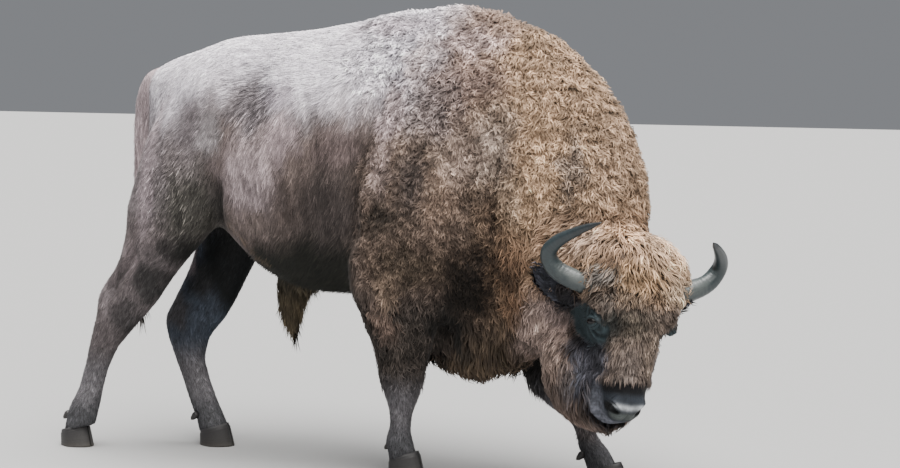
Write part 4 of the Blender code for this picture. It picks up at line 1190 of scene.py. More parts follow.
def makeSkin():
    # one skin over all the flesh, coloured and placed, and what the coat needs to grow from it
    points, triangles, edges = sunkSkin()
    coarse = len(points)
    mesh = finerHead(points, triangles)
    fine, faces, sides = readPoints(mesh), readTriangles(mesh), readEdges(mesh)
    local = toHead(fine)
    fine = eased(fine, sides, 4, withinHead(local) * 0.9)
    fine = carvedHead(fine, pointNormals(fine, faces))
    mesh.vertices.foreach_set("co", fine.astype(np.float32).ravel())
    mesh.polygons.foreach_set("use_smooth", np.ones(len(mesh.polygons), bool))
    masks = bodyRegions(fine)
    give(mesh, "tone", coatColour(fine, masks))
    give(mesh, "bare", np.maximum(masks["muzzle"], masks["eye"]))
    damp = np.exp(-((local[:, 2] - noseSizes["damp"]) / 0.022) ** 2)
    give(mesh, "wet", masks["muzzle"] * smooth(0.0, 0.04, local[:, 1]) * damp)
    skin = placed("skin", mesh, skinMaterial, "coat_brown", *fleshNodes)
    # the coat grows from the points that the mesh had before it was split finer
    points = fine[:coarse]
    return skin, points, triangles, edges, bodyRegions(points), unwrapped(skin, coarse)


def nearTable(count, edges):
    # for each point, the numbers of up to nine neighbours in a row, filled up with its own
    most = 9
    a = np.concatenate([edges[:, 0], edges[:, 1]])
    b = np.concatenate([edges[:, 1], edges[:, 0]])
    order = np.argsort(a, kind="stable")
    a, b = a[order], b[order]
    rank = np.arange(len(a)) - np.searchsorted(a, np.arange(count))[a]
    table = np.repeat(np.arange(count)[:, None], most + 1, axis=1)
    table[a[rank < most], rank[rank < most]] = b[rank < most]
    return table


def makeField(points, triangles, edges, masks, unwrap):
    # everything that a tuft needs to know at its root
    normals = pointNormals(eased(points, edges, 2), triangles)
    field = {"points": points, "normals": normals, "triangles": triangles, "masks": masks, "unwrap": unwrap,
             "near": nearTable(len(points), edges), "lie": coatLie(points, normals, masks),
             "tone": coatColour(points, masks)}
    for kind in sizeKinds:
        field[kind] = coatMeasure(masks, kind, points)
    # how strewn with pale and dark the tufts are, and how far they stray from their lie
    field["strewn"] = 0.3 * masks["head"]
    for middle, reach in speckledPlaces.values():
        away = inOval(points[:, 0], points[:, 2], middle, reach)
        field["strewn"] = np.maximum(field["strewn"], smooth(1.3, 0.4, away) * (1 - masks["head"]))
    field["loose"] = 1.0 - 0.6 * masks["face"]
    return field


def scatter(field, perArea):
    # roots spread evenly by area: each takes its share of the running total over the faces
    a, b, c = (field["points"][field["triangles"][:, i]] for i in range(3))
    area = np.linalg.norm(np.cross(b - a, c - a), axis=1) / 2
    share = np.cumsum(area * perArea[field["triangles"]].mean(axis=1))
    count = int(share[-1])
    face = np.searchsorted(share, (np.arange(count) + dice.random(count)) * share[-1] / count)
    face = np.minimum(face, len(area) - 1)
    u, v = dice.random((2, count))
    fold = u + v > 1
    u, v = np.where(fold, 1 - u, u), np.where(fold, 1 - v, v)
    place = a[face] + (b - a)[face] * u[:, None] + (c - a)[face] * v[:, None]
    corner = np.where((u < 0.34) & (v < 0.34), 0, np.where(u > v, 1, 2))
    return field["triangles"][face, corner], place


def layPath(field, start, place, reach, swing, spans, hops):
    # walks along the skin: each hop goes a little way with the lie, turned by the swing, then
    # back down to the tangent plane of the nearest point
    rows = np.arange(len(start))
    current, spot = start, place
    path, normals = [place], [field["normals"][start]]
    step = (reach / (spans * hops))[:, None]
    cosine, sine = np.cos(swing)[:, None], np.sin(swing)[:, None]
    for _ in range(spans):
        for _ in range(hops):
            lie, normal = field["lie"][current], field["normals"][current]
            ahead = spot + (lie * cosine + np.cross(normal, lie) * sine) * step
            near = field["near"][current]
            gap = ((field["points"][near] - ahead[:, None, :]) ** 2).sum(axis=2)
            current = near[rows, gap.argmin(axis=1)]
            normal = field["normals"][current]
            spot = ahead - normal * ((ahead - field["points"][current]) * normal).sum(axis=1)[:, None]
        path.append(spot)
        normals.append(field["normals"][current])
    return np.stack(path, axis=1), np.stack(normals, axis=1)


# how each kind of tuft grows: density is tufts to a square metre, spans are its lengths of
# three-sided blade and hops the steps of its path in each span; swing and swirl turn it from its
# lie, alone and with its neighbours; clump is the size of the locks that tufts gather in, gather
# how much, gaps how much painted shade darkens the tufts between them; dark and pale are the
# brightness of its root, darkened as painted shade down in the coat, and of its tip, mottle and
# own how far a lock's and a tuft's tone strays
tuftKinds = {
    "short": {"density": 24500, "spans": 1, "hops": 3, "swing": 0.2, "swirl": 0.18, "clump": 0.013,
              "gather": 0.12, "lift": 0.85, "dark": 0.7, "pale": 1.16, "mottle": 0.2, "own": 0.28,
              "gaps": 0.2},
    "wool": {"density": 25100, "spans": 2, "hops": 3, "swing": 0.46, "swirl": 0.6, "clump": 0.024,
             "gather": 0.46, "lift": 1.0, "dark": 0.6, "pale": 1.48, "mottle": 0.3, "own": 0.13,
             "gaps": 0.6},
    "long": {"density": 18100, "spans": 3, "hops": 3, "swing": 0.17, "swirl": 0.36, "clump": 0.032,
             "gather": 0.46, "lift": 1.1, "dark": 0.54, "pale": 1.54, "mottle": 0.28, "own": 0.13,
             "gaps": 0.5},
}


def fineGrain(points):
    # streaks of darker and paler hair down the flank, and a finer speckle everywhere else
    x, z = points[:, 0], points[:, 2]
    flank = smooth(-0.62, -0.48, x) * smooth(0.1, -0.02, x) * smooth(0.8, 0.92, z) * smooth(1.46, 1.34, z)
    drawn = slanted(points, 0.25)
    streaks = swell(drawn, 0.022, 61, (1.0, 0.4, 0.07)) + 0.6 * swell(drawn, 0.012, 63, (1.0, 0.4, 0.1))
    return mix(0.22 * swell(points, 0.024, 62), 0.26 * streaks, flank)


# where pale and dark tufts mix strongly: middle on x and z, and reach
speckledPlaces = {"hip": ((-0.43, 1.37), (0.13, 0.14)), "thigh": ((-0.76, 1.03), (0.15, 0.23)),
                  "neck": ((0.89, 1.15), (0.07, 0.22)), "hump": ((0.36, 1.4), (0.14, 0.13))}


# how far tufts differ from their region's length, width and height off the skin
tuftSpreads = {"long": (0.72, 1.28), "wide": (0.75, 1.3), "lift": (0.4, 1.1)}


def bladeFaces(spans):
    # one blade's triangles over its rings of three points and its tip
    faces = [(0, 1, 2)]
    for ring in range(0, 3 * (spans - 1), 3):
        for i, j in ((0, 1), (1, 2), (2, 0)):
            faces += [(ring + j, ring + i, ring + 3 + i), (ring + j, ring + 3 + i, ring + 3 + j)]
    last = 3 * (spans - 1)
    return np.array(faces + [(last + j, last + i, last + 3) for i, j in ((0, 1), (1, 2), (2, 0))])


def growTufts(field, start, place, kind):
    # a path over the skin for each root, lifted off it, gathered and waved, with a blade along it
    grow = tuftKinds[kind]
    count, spans = len(start), grow["spans"]
    reach = field["long"][start] * dice.uniform(*tuftSpreads["long"], count)
    depth, curl, droop = (field[name][start] for name in ("depth", "curl", "droop"))
    wide = field["wide"][start] * dice.uniform(*tuftSpreads["wide"], count)
    swing = dice.normal(0, grow["swing"], count) + grow["swirl"] * swell(place, 0.085, 21)
    swing = swing * field["loose"][start]
    path, normals = layPath(field, start, place, reach, swing, spans, grow["hops"])
    t = np.linspace(0, 1, spans + 1)[None, :, None]
    lift = depth[:, None, None] * grow["lift"] * dice.uniform(*tuftSpreads["lift"], (count, 1, 1))
    lift = lift * woolWaves(place)[:, None, None]
    height = lift * (0.06 + 0.94 * np.sin(np.minimum(t * 1.5, 1.0) * math.pi / 2) * (1.0 - 0.22 * t))
    # hanging tufts leave the skin and fall
    fall = np.array([0.0, 0.0, -1.0]) + dice.normal(0, 0.1, (count, 1, 3))
    free = place[:, None, :] + fall * reach[:, None, None] * t
    path = mix(path, free, (droop[:, None, None] * t ** 0.5)[:, :, 0])
    # neighbours lean together into locks
    seed, far, own = nearestSeed(place, grow["clump"], 7)
    pull = seed - place
    pull -= normals[:, 0] * (pull * normals[:, 0]).sum(axis=1, keepdims=True)
    path = path + normals * height + (pull * grow["gather"])[:, None, :] * t ** 1.3
    # waves across and out of the skin; a lock's tufts wave together
    ahead = unit(np.gradient(path, axis=1))
    across = unit(np.cross(ahead, normals))
    phase = (own * 6.28 + dice.normal(0, 0.7, count))[:, None, None]
    turns = phase + (4.2 + 2.0 * own[:, None, None]) * t
    size = curl[:, None, None] * np.sqrt(t)
    path = path + across * size * np.sin(turns) + normals * size * 0.7 * np.cos(turns)
    # a flat three-sided blade: two edges and a ridge, tapering to the tip
    ahead = unit(np.gradient(path, axis=1))
    across = unit(np.cross(ahead, normals))
    ridge = np.cross(across, ahead)
    stout = 1.0 if spans == 1 else 0.65
    taper = np.interp(np.linspace(0, 1, spans + 1), (0, 0.3, 0.65, 1), (stout, 1.0, 0.78, 0.0))[None, :, None]
    half = wide[:, None, None] * taper / 2
    low = path - ridge * half * 0.25
    rings = np.stack([low + across * half, path + ridge * half * 0.65, low - across * half], axis=2)
    points = np.concatenate([rings[:, :-1].reshape(count, -1, 3), path[:, -1:]], axis=1)
    # shading follows the body's form, a little rounded over each blade
    facing = unit(0.75 * normals + 0.35 * ridge)
    around = np.stack([unit(facing + 0.4 * across), facing, unit(facing - 0.4 * across)], axis=2)
    facing = np.concatenate([around[:, :-1].reshape(count, -1, 3), facing[:, -1:]], axis=1)
    # faces of one blade, repeated with the blade's first number added
    firsts = np.arange(count) * points.shape[1]
    triangles = (bladeFaces(spans)[None] + firsts[:, None, None]).reshape(-1, 3)
    # colour: dark at the root as painted shade down in the coat, pale at the tip, each lock a little
    # its own and darker at its edges as painted shade between the locks
    along = np.concatenate([np.repeat(np.linspace(0, 1, spans + 1)[:-1], 3), [1.0]])
    shade = mix(grow["dark"], grow["pale"], smooth(0.0, 0.75, along))[None, :]
    stray = dice.normal(0, grow["own"], count) * (1.0 + 1.3 * field["strewn"][start])
    bright = np.exp(grow["mottle"] * (own - 0.5) * 2 + fineGrain(place) + stray)
    edge = 1.0 - grow["gaps"] * smooth(0.25, 0.7, far / grow["clump"])
    tone = field["tone"][start][:, None, :] * (shade * (bright * edge)[:, None])[:, :, None]
    sideways = np.concatenate([np.tile((1.0, 0.5, 0.0), spans), [0.5]])
    patch = np.stack([np.tile(sideways, (count, 1)), np.tile(along, (count, 1))], axis=2) * 0.003
    patch += field["unwrap"][start][:, None, :]
    return points.reshape(-1, 3), triangles, tone.reshape(-1, 3), patch.reshape(-1, 2), facing.reshape(-1, 3)


mostTriangles = 195000     # a piece with more is divided
thicker = {"tailTuft": 0.8, "sheath": 0.8, "head": 0.5}     # so much more coat
coatCount = {"tufts": 0, "triangles": 0}


def coatPiece(name, material, slot, grown):
    # joins the grown tufts into one mesh, or more where they are too many for one piece
    firsts = np.cumsum([0] + [len(tufts[0]) for tufts in grown[:-1]])
    grown = [(p, t + first, c, u, n) for (p, t, c, u, n), first in zip(grown, firsts)]
    points, triangles, tone, patch, facing = (np.concatenate(part) for part in zip(*grown))
    parts = -(-len(triangles) // mostTriangles)
    for number, faces in enumerate(np.array_split(triangles, parts)):
        used, faces = np.unique(faces, return_inverse=True)
        mesh = meshOf(name, points[used], faces.reshape(-1, 3))
        give(mesh, "tone", tone[used])
        layer = mesh.uv_layers.new(name="OFBake")
        layer.uv.foreach_set("vector", patch[used][faces.ravel()].astype(np.float32).ravel())
        mesh.normals_split_custom_set_from_vertices(facing[used].tolist())
        placed(name if parts == 1 else name + "_" + str(number + 1), mesh, material, slot)
    coatCount["triangles"] += len(triangles)


def coatKinds(masks, points):
    # the share of long, woolly and short tufts at each point
    z = points[:, 2]
    blur = swell(points, 0.1, 31) * 0.18
    longRegions = ("crown", "cheek", "beard", "brisket", "foreLeft", "tailTuft", "sheath")
    longHair = np.max([masks[k] for k in longRegions], axis=0)
    longHair *= 1 - masks["legs"] * smooth(0.42, 0.34, z)
    longHair = smooth(0.42, 0.58, longHair + blur)
    woolly = np.max([masks[k] for k in ("shoulder", "hump", "neck", "foreRight", "head")], axis=0)
    woolly *= 1 - masks["legs"] * smooth(0.4, 0.3, z)
    woolly = smooth(0.42, 0.58, woolly + blur) * (1 - longHair)
    return {"long": longHair, "wool": woolly, "short": 1 - longHair - woolly}


def coatSets(masks, points):
    # the coat's pieces by place: name, slot, material, and the points that each takes, if none
    # before it did
    has = {k: masks[k] > 0.5 for k in ("head", "crown", *coatWays, "tail", "tailTuft", "sheath")}
    fore = masks["foreRight"] + masks["foreLeft"] > 0.5
    hind = masks["hindRight"] + masks["hindLeft"] > 0.5
    right = points[:, 1] < bodyMiddle
    ahead = points[:, 0] > -0.62
    return [("coatCrown", "coat_warm", "coatLong", has["head"] & has["crown"]),
            ("coatFace", "coat_brown", "coatLong", has["head"] & ~has["crown"]),
            ("coatForelegs", "coat_dark", "coatWool", ~has["head"] & fore),
            ("coatHindlegs", "coat_dark", "coatShort", ~has["head"] & hind),
            ("coatTail", "coat_brown", "coatLong", has["tail"] | has["tailTuft"]),
            ("coatSheath", "coat_dark", "coatLong", has["sheath"]),
            ("coatBrisket", "coat_dark", "coatLong", has["brisket"]),
            ("coatNeckRight", "coat_warm", "coatWool", has["neck"] & right),
            ("coatNeckLeft", "coat_warm", "coatWool", has["neck"]),
            ("coatShoulderRight", "coat_warm", "coatWool", has["shoulder"] & right),
            ("coatShoulderLeft", "coat_warm", "coatWool", has["shoulder"]),
            ("coatFlankRight", "coat_brown", "coatShort", ahead & right),
            ("coatFlankLeft", "coat_brown", "coatShort", ahead),
            ("coatRump", "coat_brown", "coatShort", ~ahead)]


def growCoat(field):
    # gives every piece its points, scatters roots for each kind of tuft and grows them
    masks, points = field["masks"], field["points"]
    bare = smooth(0.35, 0.75, np.maximum(masks["muzzle"], masks["eye"]))
    lower = masks["legs"] * smooth(0.5, 0.4, points[:, 2])
    lean = 1.0
    sets = coatSets(masks, points)
    more = 1
    for region, extra in thicker.items():
        more = more + extra * masks[region]
    taken = np.full(len(points), -1)
    for number, (name, slot, cover, where) in enumerate(sets):
        taken[(taken < 0) & where] = number
    grown = [[] for name in sets]
    for kind, share in coatKinds(masks, points).items():
        density = tuftKinds[kind]["density"] * lean * share * (1 - 0.97 * bare) * (1 + 0.6 * lower)
        density *= more
        start, place = scatter(field, density)
        for number in range(len(sets)):
            mine = taken[start] == number
            if mine.any():
                grown[number].append(growTufts(field, start[mine], place[mine], kind))
                coatCount["tufts"] += int(mine.sum())
    for (name, slot, cover, where), tufts in zip(sets, grown):
        coatPiece(name, coatMaterials[cover], slot, tufts)


skin, *skinParts = makeSkin()
print("skin is made:", len(skin.data.polygons), "triangles")
field = makeField(*skinParts)
growCoat(field)
print("coat is grown:", coatCount["tufts"], "tufts,", coatCount["triangles"], "triangles")


# a horn's middle line in the head's frame, right side, with its radii; tipUp raises each tip,
# rings is the distance between two ridges
hornSizes = {"path": [(0.1, -0.005, -0.03), (0.206, 0.002, -0.01), (0.284, -0.014, 0.024),
                      (0.32, -0.008, 0.074), (0.309, 0.034, 0.116), (0.264, 0.105, 0.154),
                      (0.208, 0.182, 0.186)],
             "radii": [0.0385, 0.0365, 0.033, 0.0292, 0.024, 0.0165, 0.0072], "rows": 110, "columns": 30,
             "tipUp": {"right": 0.008, "left": -0.022}, "rings": 0.016, "ringHeight": 0.016}
hornColours = [(0.0, (0.044, 0.05, 0.048)), (0.28, (0.066, 0.076, 0.074)), (0.46, (0.022, 0.033, 0.036)),
               (0.7, (0.017, 0.026, 0.03)), (1.0, (0.008, 0.01, 0.012))]


def rampOf(tree, factor, stops):
    # colours along a factor, from (place, colour) pairs
    ramp = tree.nodes.new("ShaderNodeValToRGB")
    while len(ramp.color_ramp.elements) < len(stops):
        ramp.color_ramp.elements.new(0.5)
    for element, (place, colour) in zip(ramp.color_ramp.elements, stops):
        element.position = place
        element.color = (*colour, 1)
    tree.links.new(factor, ramp.inputs["Fac"])
    return ramp.outputs["Color"]


# how many blotches, growth lines and cracks there are, and how high they stand
hornFinish = {"roughness": 0.4, "specular": 0.55, "blotches": 38.0, "lines": 70.0, "cracks": 260.0,
              "bump": 0.35, "bumpHigh": 0.0012}


def makeHornMaterial():
    # grey at the root to black at the tip, with fine cracks and growth lines
    material, tree, shader = newMaterial("horn", Roughness=hornFinish["roughness"],
                                         Specular_IOR_Level=hornFinish["specular"])
    along, place = addAttribute(tree, "along").outputs["Fac"], objectPlace(tree)
    blotch = addNoise(tree, place, hornFinish["blotches"], 5.0, 0.6)
    shifted = addMath(tree, "ADD", along, addRange(tree, blotch, 0.3, 0.7, -0.07, 0.07))
    cracks = addNoise(tree, place, hornFinish["cracks"], 4.0, 0.7)
    streak = addShares(tree, addLines(tree, along, hornFinish["lines"], 4.0), cracks, 0.5)
    colour = addTint(tree, rampOf(tree, shifted, hornColours), addRange(tree, streak, 0.3, 0.7, 0.7, 1.3))
    tree.links.new(colour, shader.inputs["Base Color"])
    addBump(tree, shader, streak, hornFinish["bump"], hornFinish["bumpHigh"])
    return material


def makeHorn(word, side, material):
    # circles along a curve; low ridges circle the root and die away, with shallow flutes
    spots = np.array(hornSizes["path"])
    spots[-3:, 2] += np.array([0.2, 0.6, 1.0]) * hornSizes["tipUp"][word]
    path = alongCurve(spots, hornSizes["rows"]) * (side, 1, 1)
    radii = alongCurve(hornSizes["radii"], hornSizes["rows"])
    travelled = np.concatenate([[0], np.cumsum(np.linalg.norm(np.diff(path, axis=0), axis=1))])
    along = travelled / travelled[-1]
    ridges = np.sin(travelled / hornSizes["rings"] * 2 * math.pi + 1.5 * np.sin(travelled * 90))
    radii = radii * (1 + hornSizes["ringHeight"] * ridges * smooth(0.62, 0.25, along))
    radii *= np.sqrt(np.clip((1.004 - along) / 0.09, 0, 1))
    angle = fullTurn(hornSizes["columns"])[..., None]
    flutes = 1 + 0.018 * np.cos(angle * 7 + 2 * side) * smooth(0.8, 0.3, along)[:, None, None]
    points, faces = closedTube(ringsOn(path, (0.0, 1.0, 0.2), angle, radii[:, None, None], flutes))
    points = fromHead(points)
    faces = facingOut(points, faces)
    mesh = meshOf("horn", points, faces)
    # painted shade: the side turned to the ground is darker
    under = smooth(0.25, -0.55, pointNormals(points, faces)[:, 2])
    along = perRing(along, hornSizes["columns"], 0.0, 1.0)
    give(mesh, "along", along + 0.2 * under * smooth(0.6, 0.2, along))
    placed("bisonHorn_" + word, mesh, material, "horn", "horn_" + word)


# an ear's middle line and half widths; face is the way its hollow looks, cup how deep it is
earSizes = {"path": [(0.15, -0.078, -0.055), (0.19, -0.094, -0.052), (0.24, -0.12, -0.03),
                     (0.286, -0.148, 0.008), (0.309, -0.162, 0.034)],
            "widths": [0.032, 0.046, 0.05, 0.036, 0.006], "cup": 0.42, "thick": 0.005, "rows": 34,
            "columns": 40, "face": (0.35, 0.75, -0.45), "coat": (0.007, 0.03, 0.0048, 0.0015, 0.15),
            "density": 34000.0}
# inside is the ear's colour darkened as painted shade in its cup
earColours = {"outside": (0.11, 0.108, 0.138), "inside": (0.026, 0.027, 0.035)}


def earField(points, faces, ahead, rim):
    # the ear's own coat: its lie runs out to the tip, and the rim carries the longest hair
    rows, columns = earSizes["rows"], earSizes["columns"]
    normals = pointNormals(points, faces)
    outward = np.concatenate([np.repeat(ahead, columns, axis=0), ahead[:1], ahead[-1:]]) @ headTurn.T
    across, down = np.tile(np.arange(columns) / columns, rows), np.repeat(np.arange(rows) / rows, columns)
    unwrap = np.concatenate([np.stack([across, down], axis=1), [[0.5, 0.0], [0.5, 0.99]]]) * 0.95 + 0.02
    edges = np.concatenate([faces[:, [0, 1]], faces[:, [1, 2]], faces[:, [2, 0]]])
    edges = np.unique(np.sort(edges, axis=1), axis=0)
    field = {"points": points, "normals": normals, "triangles": faces, "unwrap": unwrap,
             "lie": unit(outward - normals * (outward * normals).sum(axis=1, keepdims=True)),
             "near": nearTable(len(points), edges), "strewn": np.zeros(len(points)),
             "loose": np.full(len(points), 0.7)}
    for kind, value in zip(sizeKinds, earSizes["coat"]):
        field[kind] = np.full(len(points), value)
    field["long"] = field["long"] * (0.6 + 0.8 * np.concatenate([np.tile(rim, rows), [0.0, 1.0]]))
    return field


def makeEar(word, side):
    # a leaf along a curve: its section is a thin crescent that opens towards the front
    path = alongCurve(earSizes["path"], earSizes["rows"]) * (side, 1, 1)
    widths = alongCurve(earSizes["widths"], earSizes["rows"])[:, None, None]
    ahead = unit(np.gradient(path, axis=0))
    thin = np.array(earSizes["face"]) * (side, 1, 1)
    thin = unit(thin - ahead * (ahead @ thin)[:, None])[:, None]
    wide = np.cross(ahead[:, None], thin)
    angle = fullTurn(earSizes["columns"])[..., None]
    a, b = np.cos(angle), np.sin(angle)
    thickness = b * earSizes["thick"] * (1.15 - a ** 2) * np.sqrt(widths / 0.04)
    rings = path[:, None] + wide * a * widths + thin * (earSizes["cup"] * (a ** 2 - 0.6) * widths + thickness)
    points, faces = closedTube(rings)
    points = fromHead(points)
    faces = facingOut(points, faces)
    mesh = meshOf("ear", points, faces)
    # the hollow of the cup is painted darker, as shade inside it
    inside = np.concatenate([np.tile(smooth(-0.3, 0.3, b.ravel()), earSizes["rows"]), [0.5, 0.5]])
    tone = mix(np.tile(earColours["outside"], (len(points), 1)), earColours["inside"], inside)
    give(mesh, "tone", tone)
    give(mesh, "bare", np.zeros(len(points)))
    give(mesh, "wet", np.zeros(len(points)))
    placed("bisonEar_" + word, mesh, skinMaterial, "coat_dark", "ear_" + word)
    field = earField(points, faces, ahead, np.abs(a.ravel()))
    field["tone"] = tone * 1.3
    start, place = scatter(field, np.full(len(points), earSizes["density"]) * (1.0 - 0.5 * inside))
    tufts = growTufts(field, start, place, "wool")
    coatPiece("coatEar_" + word, coatMaterials["coatLong"], "coat_dark", [tufts])


# the lids' opening in degrees from the eye's axis: to the corners, up and down; folds gives, along
# the way out from the rim, how far they rise over the eye, and shades how bright they are: painted
# shade at the rim and in the crease between the folds, painted highlight on the folds
lidSizes = {"open": 54.0, "upper": 26.0, "lower": 20.0, "outermost": 118.0, "rows": 26, "columns": 60,
            "folds": ((0, 0.06, 0.16, 0.3, 0.42, 0.58, 0.75, 1.0),
                      (0.0012, 0.0026, 0.0038, 0.0042, 0.0026, 0.005, 0.0075, 0.008)),
            "shades": ((0, 0.05, 0.14, 0.28, 0.4, 0.55, 1.0), (0.15, 0.25, 0.8, 1.3, 0.45, 1.25, 1.0))}
eyeColours = [(0.0, (0.002, 0.002, 0.003)), (0.26, (0.004, 0.003, 0.003)), (0.34, (0.006, 0.004, 0.003)),
              (0.56, (0.005, 0.004, 0.003)), (0.64, (0.008, 0.008, 0.008))]


def eyeAxes(side):
    # the way the eye looks, up across it, and along the opening of its lids
    axis = unit(np.array(eyeSizes["axis"]) * (side, 1, 1))
    upright = np.array([0.0, -0.1, 1.0])
    up = unit(upright - axis * (axis @ upright))
    return axis, up, np.cross(up, axis) * side


eyeFinish = {"roughness": 0.25, "specular": 0.3, "wet": 0.12, "wetRoughness": 0.1, "fibres": 900.0}


def makeEyeMaterial():
    # dark brown with a wide black pupil, under a clear wet surface
    material, tree, shader = newMaterial(
        "eye", Roughness=eyeFinish["roughness"], Specular_IOR_Level=eyeFinish["specular"],
        Coat_Weight=eyeFinish["wet"], Coat_Roughness=eyeFinish["wetRoughness"])
    fibres = addNoise(tree, objectPlace(tree), eyeFinish["fibres"], 3.0, 0.6)
    colour = rampOf(tree, addAttribute(tree, "ring").outputs["Fac"], eyeColours)
    colour = addTint(tree, colour, addRange(tree, fibres, 0.3, 0.7, 0.7, 1.3))
    tree.links.new(colour, shader.inputs["Base Color"])
    return material


def makeEye(word, side, material):
    # a sphere with its poles on the eye's axis, and the clear dome in front pushed out a little
    polar = np.linspace(0.02, math.pi - 0.02, eyeSizes["rows"])[:, None, None]
    angle = fullTurn(eyeSizes["columns"])[..., None]
    radius = eyeSizes["radius"] * (1 + eyeSizes["dome"] * np.exp(-(polar / 0.55) ** 2))
    rings = ballRings(eyeAxes(side), angle, polar, radius)
    points, faces = closedTube(rings + np.array(eyeSizes["place"]) * (side, 1, 1))
    points = fromHead(points)
    mesh = meshOf("eye", points, facingOut(points, faces))
    # the pupil is wider than tall
    across = np.hypot(np.cos(angle) * 0.75, np.sin(angle) * 1.2) * polar / (math.pi / 2)
    give(mesh, "ring", np.concatenate([across.ravel(), [0.0, 2.0]]))
    placed("bisonEye_" + word, mesh, material, "eye", "eye_" + word)


def makeLids(word, side):
    # rings of skin round an almond opening: the rim lies on the eye, two folds rise round it,
    # and the outermost ring sinks into the face. Each ring is at an angle from the eye's axis.
    turn = fullTurn(lidSizes["columns"])
    t = np.linspace(0, 1, lidSizes["rows"])[:, None]
    tall = np.where(np.sin(turn) > 0, lidSizes["upper"], lidSizes["lower"])
    opening = 1.0 / np.sqrt((np.cos(turn) / lidSizes["open"]) ** 2 + (np.sin(turn) / tall) ** 2)
    polar = np.radians(mix(opening, lidSizes["outermost"] + 0 * turn, t ** 1.15))
    rise = np.interp(t, *lidSizes["folds"])
    rise = rise + 0.0009 * np.sin(t * 34 + 1.3 * np.sin(turn * 2)) * smooth(0.2, 0.4, t) * smooth(1.0, 0.8, t)
    rise = rise + 0.003 * np.maximum(np.sin(turn), 0) * smooth(0.05, 0.2, t) * smooth(0.6, 0.3, t)
    radius = (eyeSizes["radius"] + rise)[:, :, None]
    middle = np.array(eyeSizes["place"]) * (side, 1, 1)
    points, faces = closedTube(ballRings(eyeAxes(side), turn[..., None], polar[..., None], radius) + middle)
    # the opening stays open: the fan over the first ring is left off, the one behind is kept
    faces = faces[~(faces == lidSizes["rows"] * lidSizes["columns"]).any(axis=1)]
    points = fromHead(points)
    outwards = (pointNormals(points, faces) * (points - fromHead(middle))).sum() > 0
    mesh = meshOf("lids", points, faces if outwards else faces[:, ::-1])
    # painted shade darkens the rim and the crease, painted highlight brightens the folds
    shade = perRing(np.interp(t.ravel(), *lidSizes["shades"]), lidSizes["columns"], 0.2, 1.0)
    give(mesh, "tone", np.array(coatColours["eye"]) * shade[:, None])
    give(mesh, "bare", np.ones(len(points)))
    give(mesh, "wet", perRing(smooth(0.12, 0.0, t.ravel()), lidSizes["columns"], 0.0, 0.0))
    placed("eyelids_" + word, mesh, skinMaterial, "muzzle_skin")


# each claw's sizes on the ground, with topLength and topWidth as shares of them; slope is how the
# coronet falls to the heel, tuckedIn how far its edge rises into the hair
clawSizes = {"length": 0.15, "width": 0.056, "split": 0.006, "coronet": 0.066, "slope": 0.3,
             "topLength": 0.84, "topWidth": 0.94, "toeNarrows": 0.18, "leanBack": 0.012, "tuckedIn": 0.014,
             "rows": 16, "columns": 44}
# how far each foot is turned
footTurns = {"fore_right": -0.1, "fore_left": 0.0, "hind_right": -0.1, "hind_left": 0.05}
# a dewclaw's radii along its length
dewclawSizes = {"radii": ((0, 0.15, 0.5, 0.85, 1), (0.006, 0.0125, 0.0145, 0.009, 0.002)), "rows": 18,
                "columns": 20}
hoofColours = [(0.0, (0.056, 0.051, 0.045)), (0.25, (0.032, 0.03, 0.029)), (1.0, (0.022, 0.021, 0.022))]


hoofFinish = {"specular": 0.4, "grit": 160.0, "lines": 16.0, "roughness": (0.42, 0.68), "bump": 0.5,
              "bumpHigh": 0.0015}


def makeHoofMaterial():
    # dark grey horn with growth lines and grit, paler towards the ground
    material, tree, shader = newMaterial("hoof", Specular_IOR_Level=hoofFinish["specular"])
    along = addAttribute(tree, "along").outputs["Fac"]
    grit = addNoise(tree, objectPlace(tree), hoofFinish["grit"], 5.0, 0.65)
    both = addShares(tree, grit, addLines(tree, along, hoofFinish["lines"], 2.0), 0.5)
    textureTinted = addTint(tree, rampOf(tree, along, hoofColours), addRange(tree, both, 0.3, 0.7, 0.65, 1.35))
    tree.links.new(textureTinted, shader.inputs["Base Color"])
    tree.links.new(addRange(tree, both, 0.3, 0.7, *hoofFinish["roughness"]), shader.inputs["Roughness"])
    addBump(tree, shader, both, hoofFinish["bump"], hoofFinish["bumpHigh"])
    return material


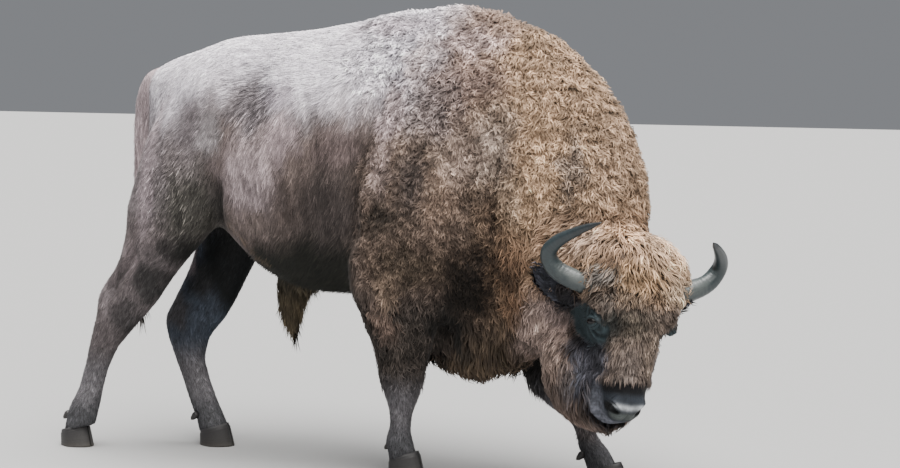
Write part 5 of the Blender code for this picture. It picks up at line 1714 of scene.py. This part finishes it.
def makeClaw(foot, word, side, centre, material):
    # each level is a rounded half-oval with a straight inner wall; the top slants to the heel
    t = np.linspace(0, 1, clawSizes["rows"])[:, None]
    angle = fullTurn(clawSizes["columns"])
    along, out = np.cos(angle), np.sin(angle)
    along = np.sign(along) * np.abs(along) ** 0.85
    outer = (out > 0).astype(float)
    across = out * outer * (1.0 - clawSizes["toeNarrows"] * np.maximum(along, 0) ** 2)
    tuck = smooth(0.86, 1.0, t) * 0.06
    length = mix(1.0, clawSizes["topLength"], t ** 0.9) - 0.02 * smooth(0.05, 0.0, t) - tuck
    width = mix(1.0, clawSizes["topWidth"], t) - 0.03 * smooth(0.05, 0.0, t) - tuck
    x = along * clawSizes["length"] / 2 * length - clawSizes["leanBack"] * t
    y = side * (clawSizes["split"] / 2 + 0.16 * (1 - np.abs(along)) * outer * clawSizes["width"]
                + across * clawSizes["width"] * width * 0.84)
    level = np.minimum(t / 0.9, 1.0)
    z = (clawSizes["coronet"] + clawSizes["slope"] * x) * level + clawSizes["tuckedIn"] * smooth(0.9, 1.0, t)
    turn = footTurns[foot]
    rings = np.stack([centre[0] + x * math.cos(turn) - y * math.sin(turn),
                      centre[1] + x * math.sin(turn) + y * math.cos(turn), z], axis=2)
    points, faces = closedTube(rings)
    mesh = meshOf("claw", points, facingOut(points, faces))
    give(mesh, "along", perRing(t.ravel(), clawSizes["columns"], 0.0, 1.0))
    placed("hoof_" + foot + "_" + word, mesh, material, "hoof", "claw_" + foot + "_" + word)


def makeDewclaw(foot, word, material):
    # a blunt cone from high in front to low behind, inside its solid's box
    low, high = (np.array(corner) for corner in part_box("dewclaw_" + foot + "_" + word))
    rows, columns = dewclawSizes["rows"], dewclawSizes["columns"]
    middle = (low + high) / 2
    path = alongCurve([(high[0] - 0.012, middle[1], high[2] - 0.012), tuple(middle),
                       (low[0] + 0.004, middle[1], low[2] + 0.004)], rows)
    t = np.linspace(0, 1, rows)
    radii = np.interp(t, *dewclawSizes["radii"])[:, None, None]
    points, faces = closedTube(ringsOn(path, (0.0, 1.0, 0.0), fullTurn(columns)[..., None], radii))
    mesh = meshOf("dewclaw", points, facingOut(points, faces))
    give(mesh, "along", perRing(1 - t, columns, 1.0, 0.0))
    placed("spur_" + foot + "_" + word, mesh, material, "hoof", "dewclaw_" + foot + "_" + word)


hornMaterial, eyeMaterial, hoofMaterial = makeHornMaterial(), makeEyeMaterial(), makeHoofMaterial()
for word, side in (("right", 1), ("left", -1)):
    makeHorn(word, side, hornMaterial)
    makeEar(word, side)
    makeEye(word, side, eyeMaterial)
    makeLids(word, side)
for foot in footTurns:
    centre = (boxMiddle("claw_" + foot + "_inner") + boxMiddle("claw_" + foot + "_outer")) / 2
    for word in ("inner", "outer"):
        towards = 1 if boxMiddle("claw_" + foot + "_" + word)[1] > centre[1] else -1
        makeClaw(foot, word, towards, centre, hoofMaterial)
        makeDewclaw(foot, word, hoofMaterial)
print("horns, ears, eyes and hooves are made")
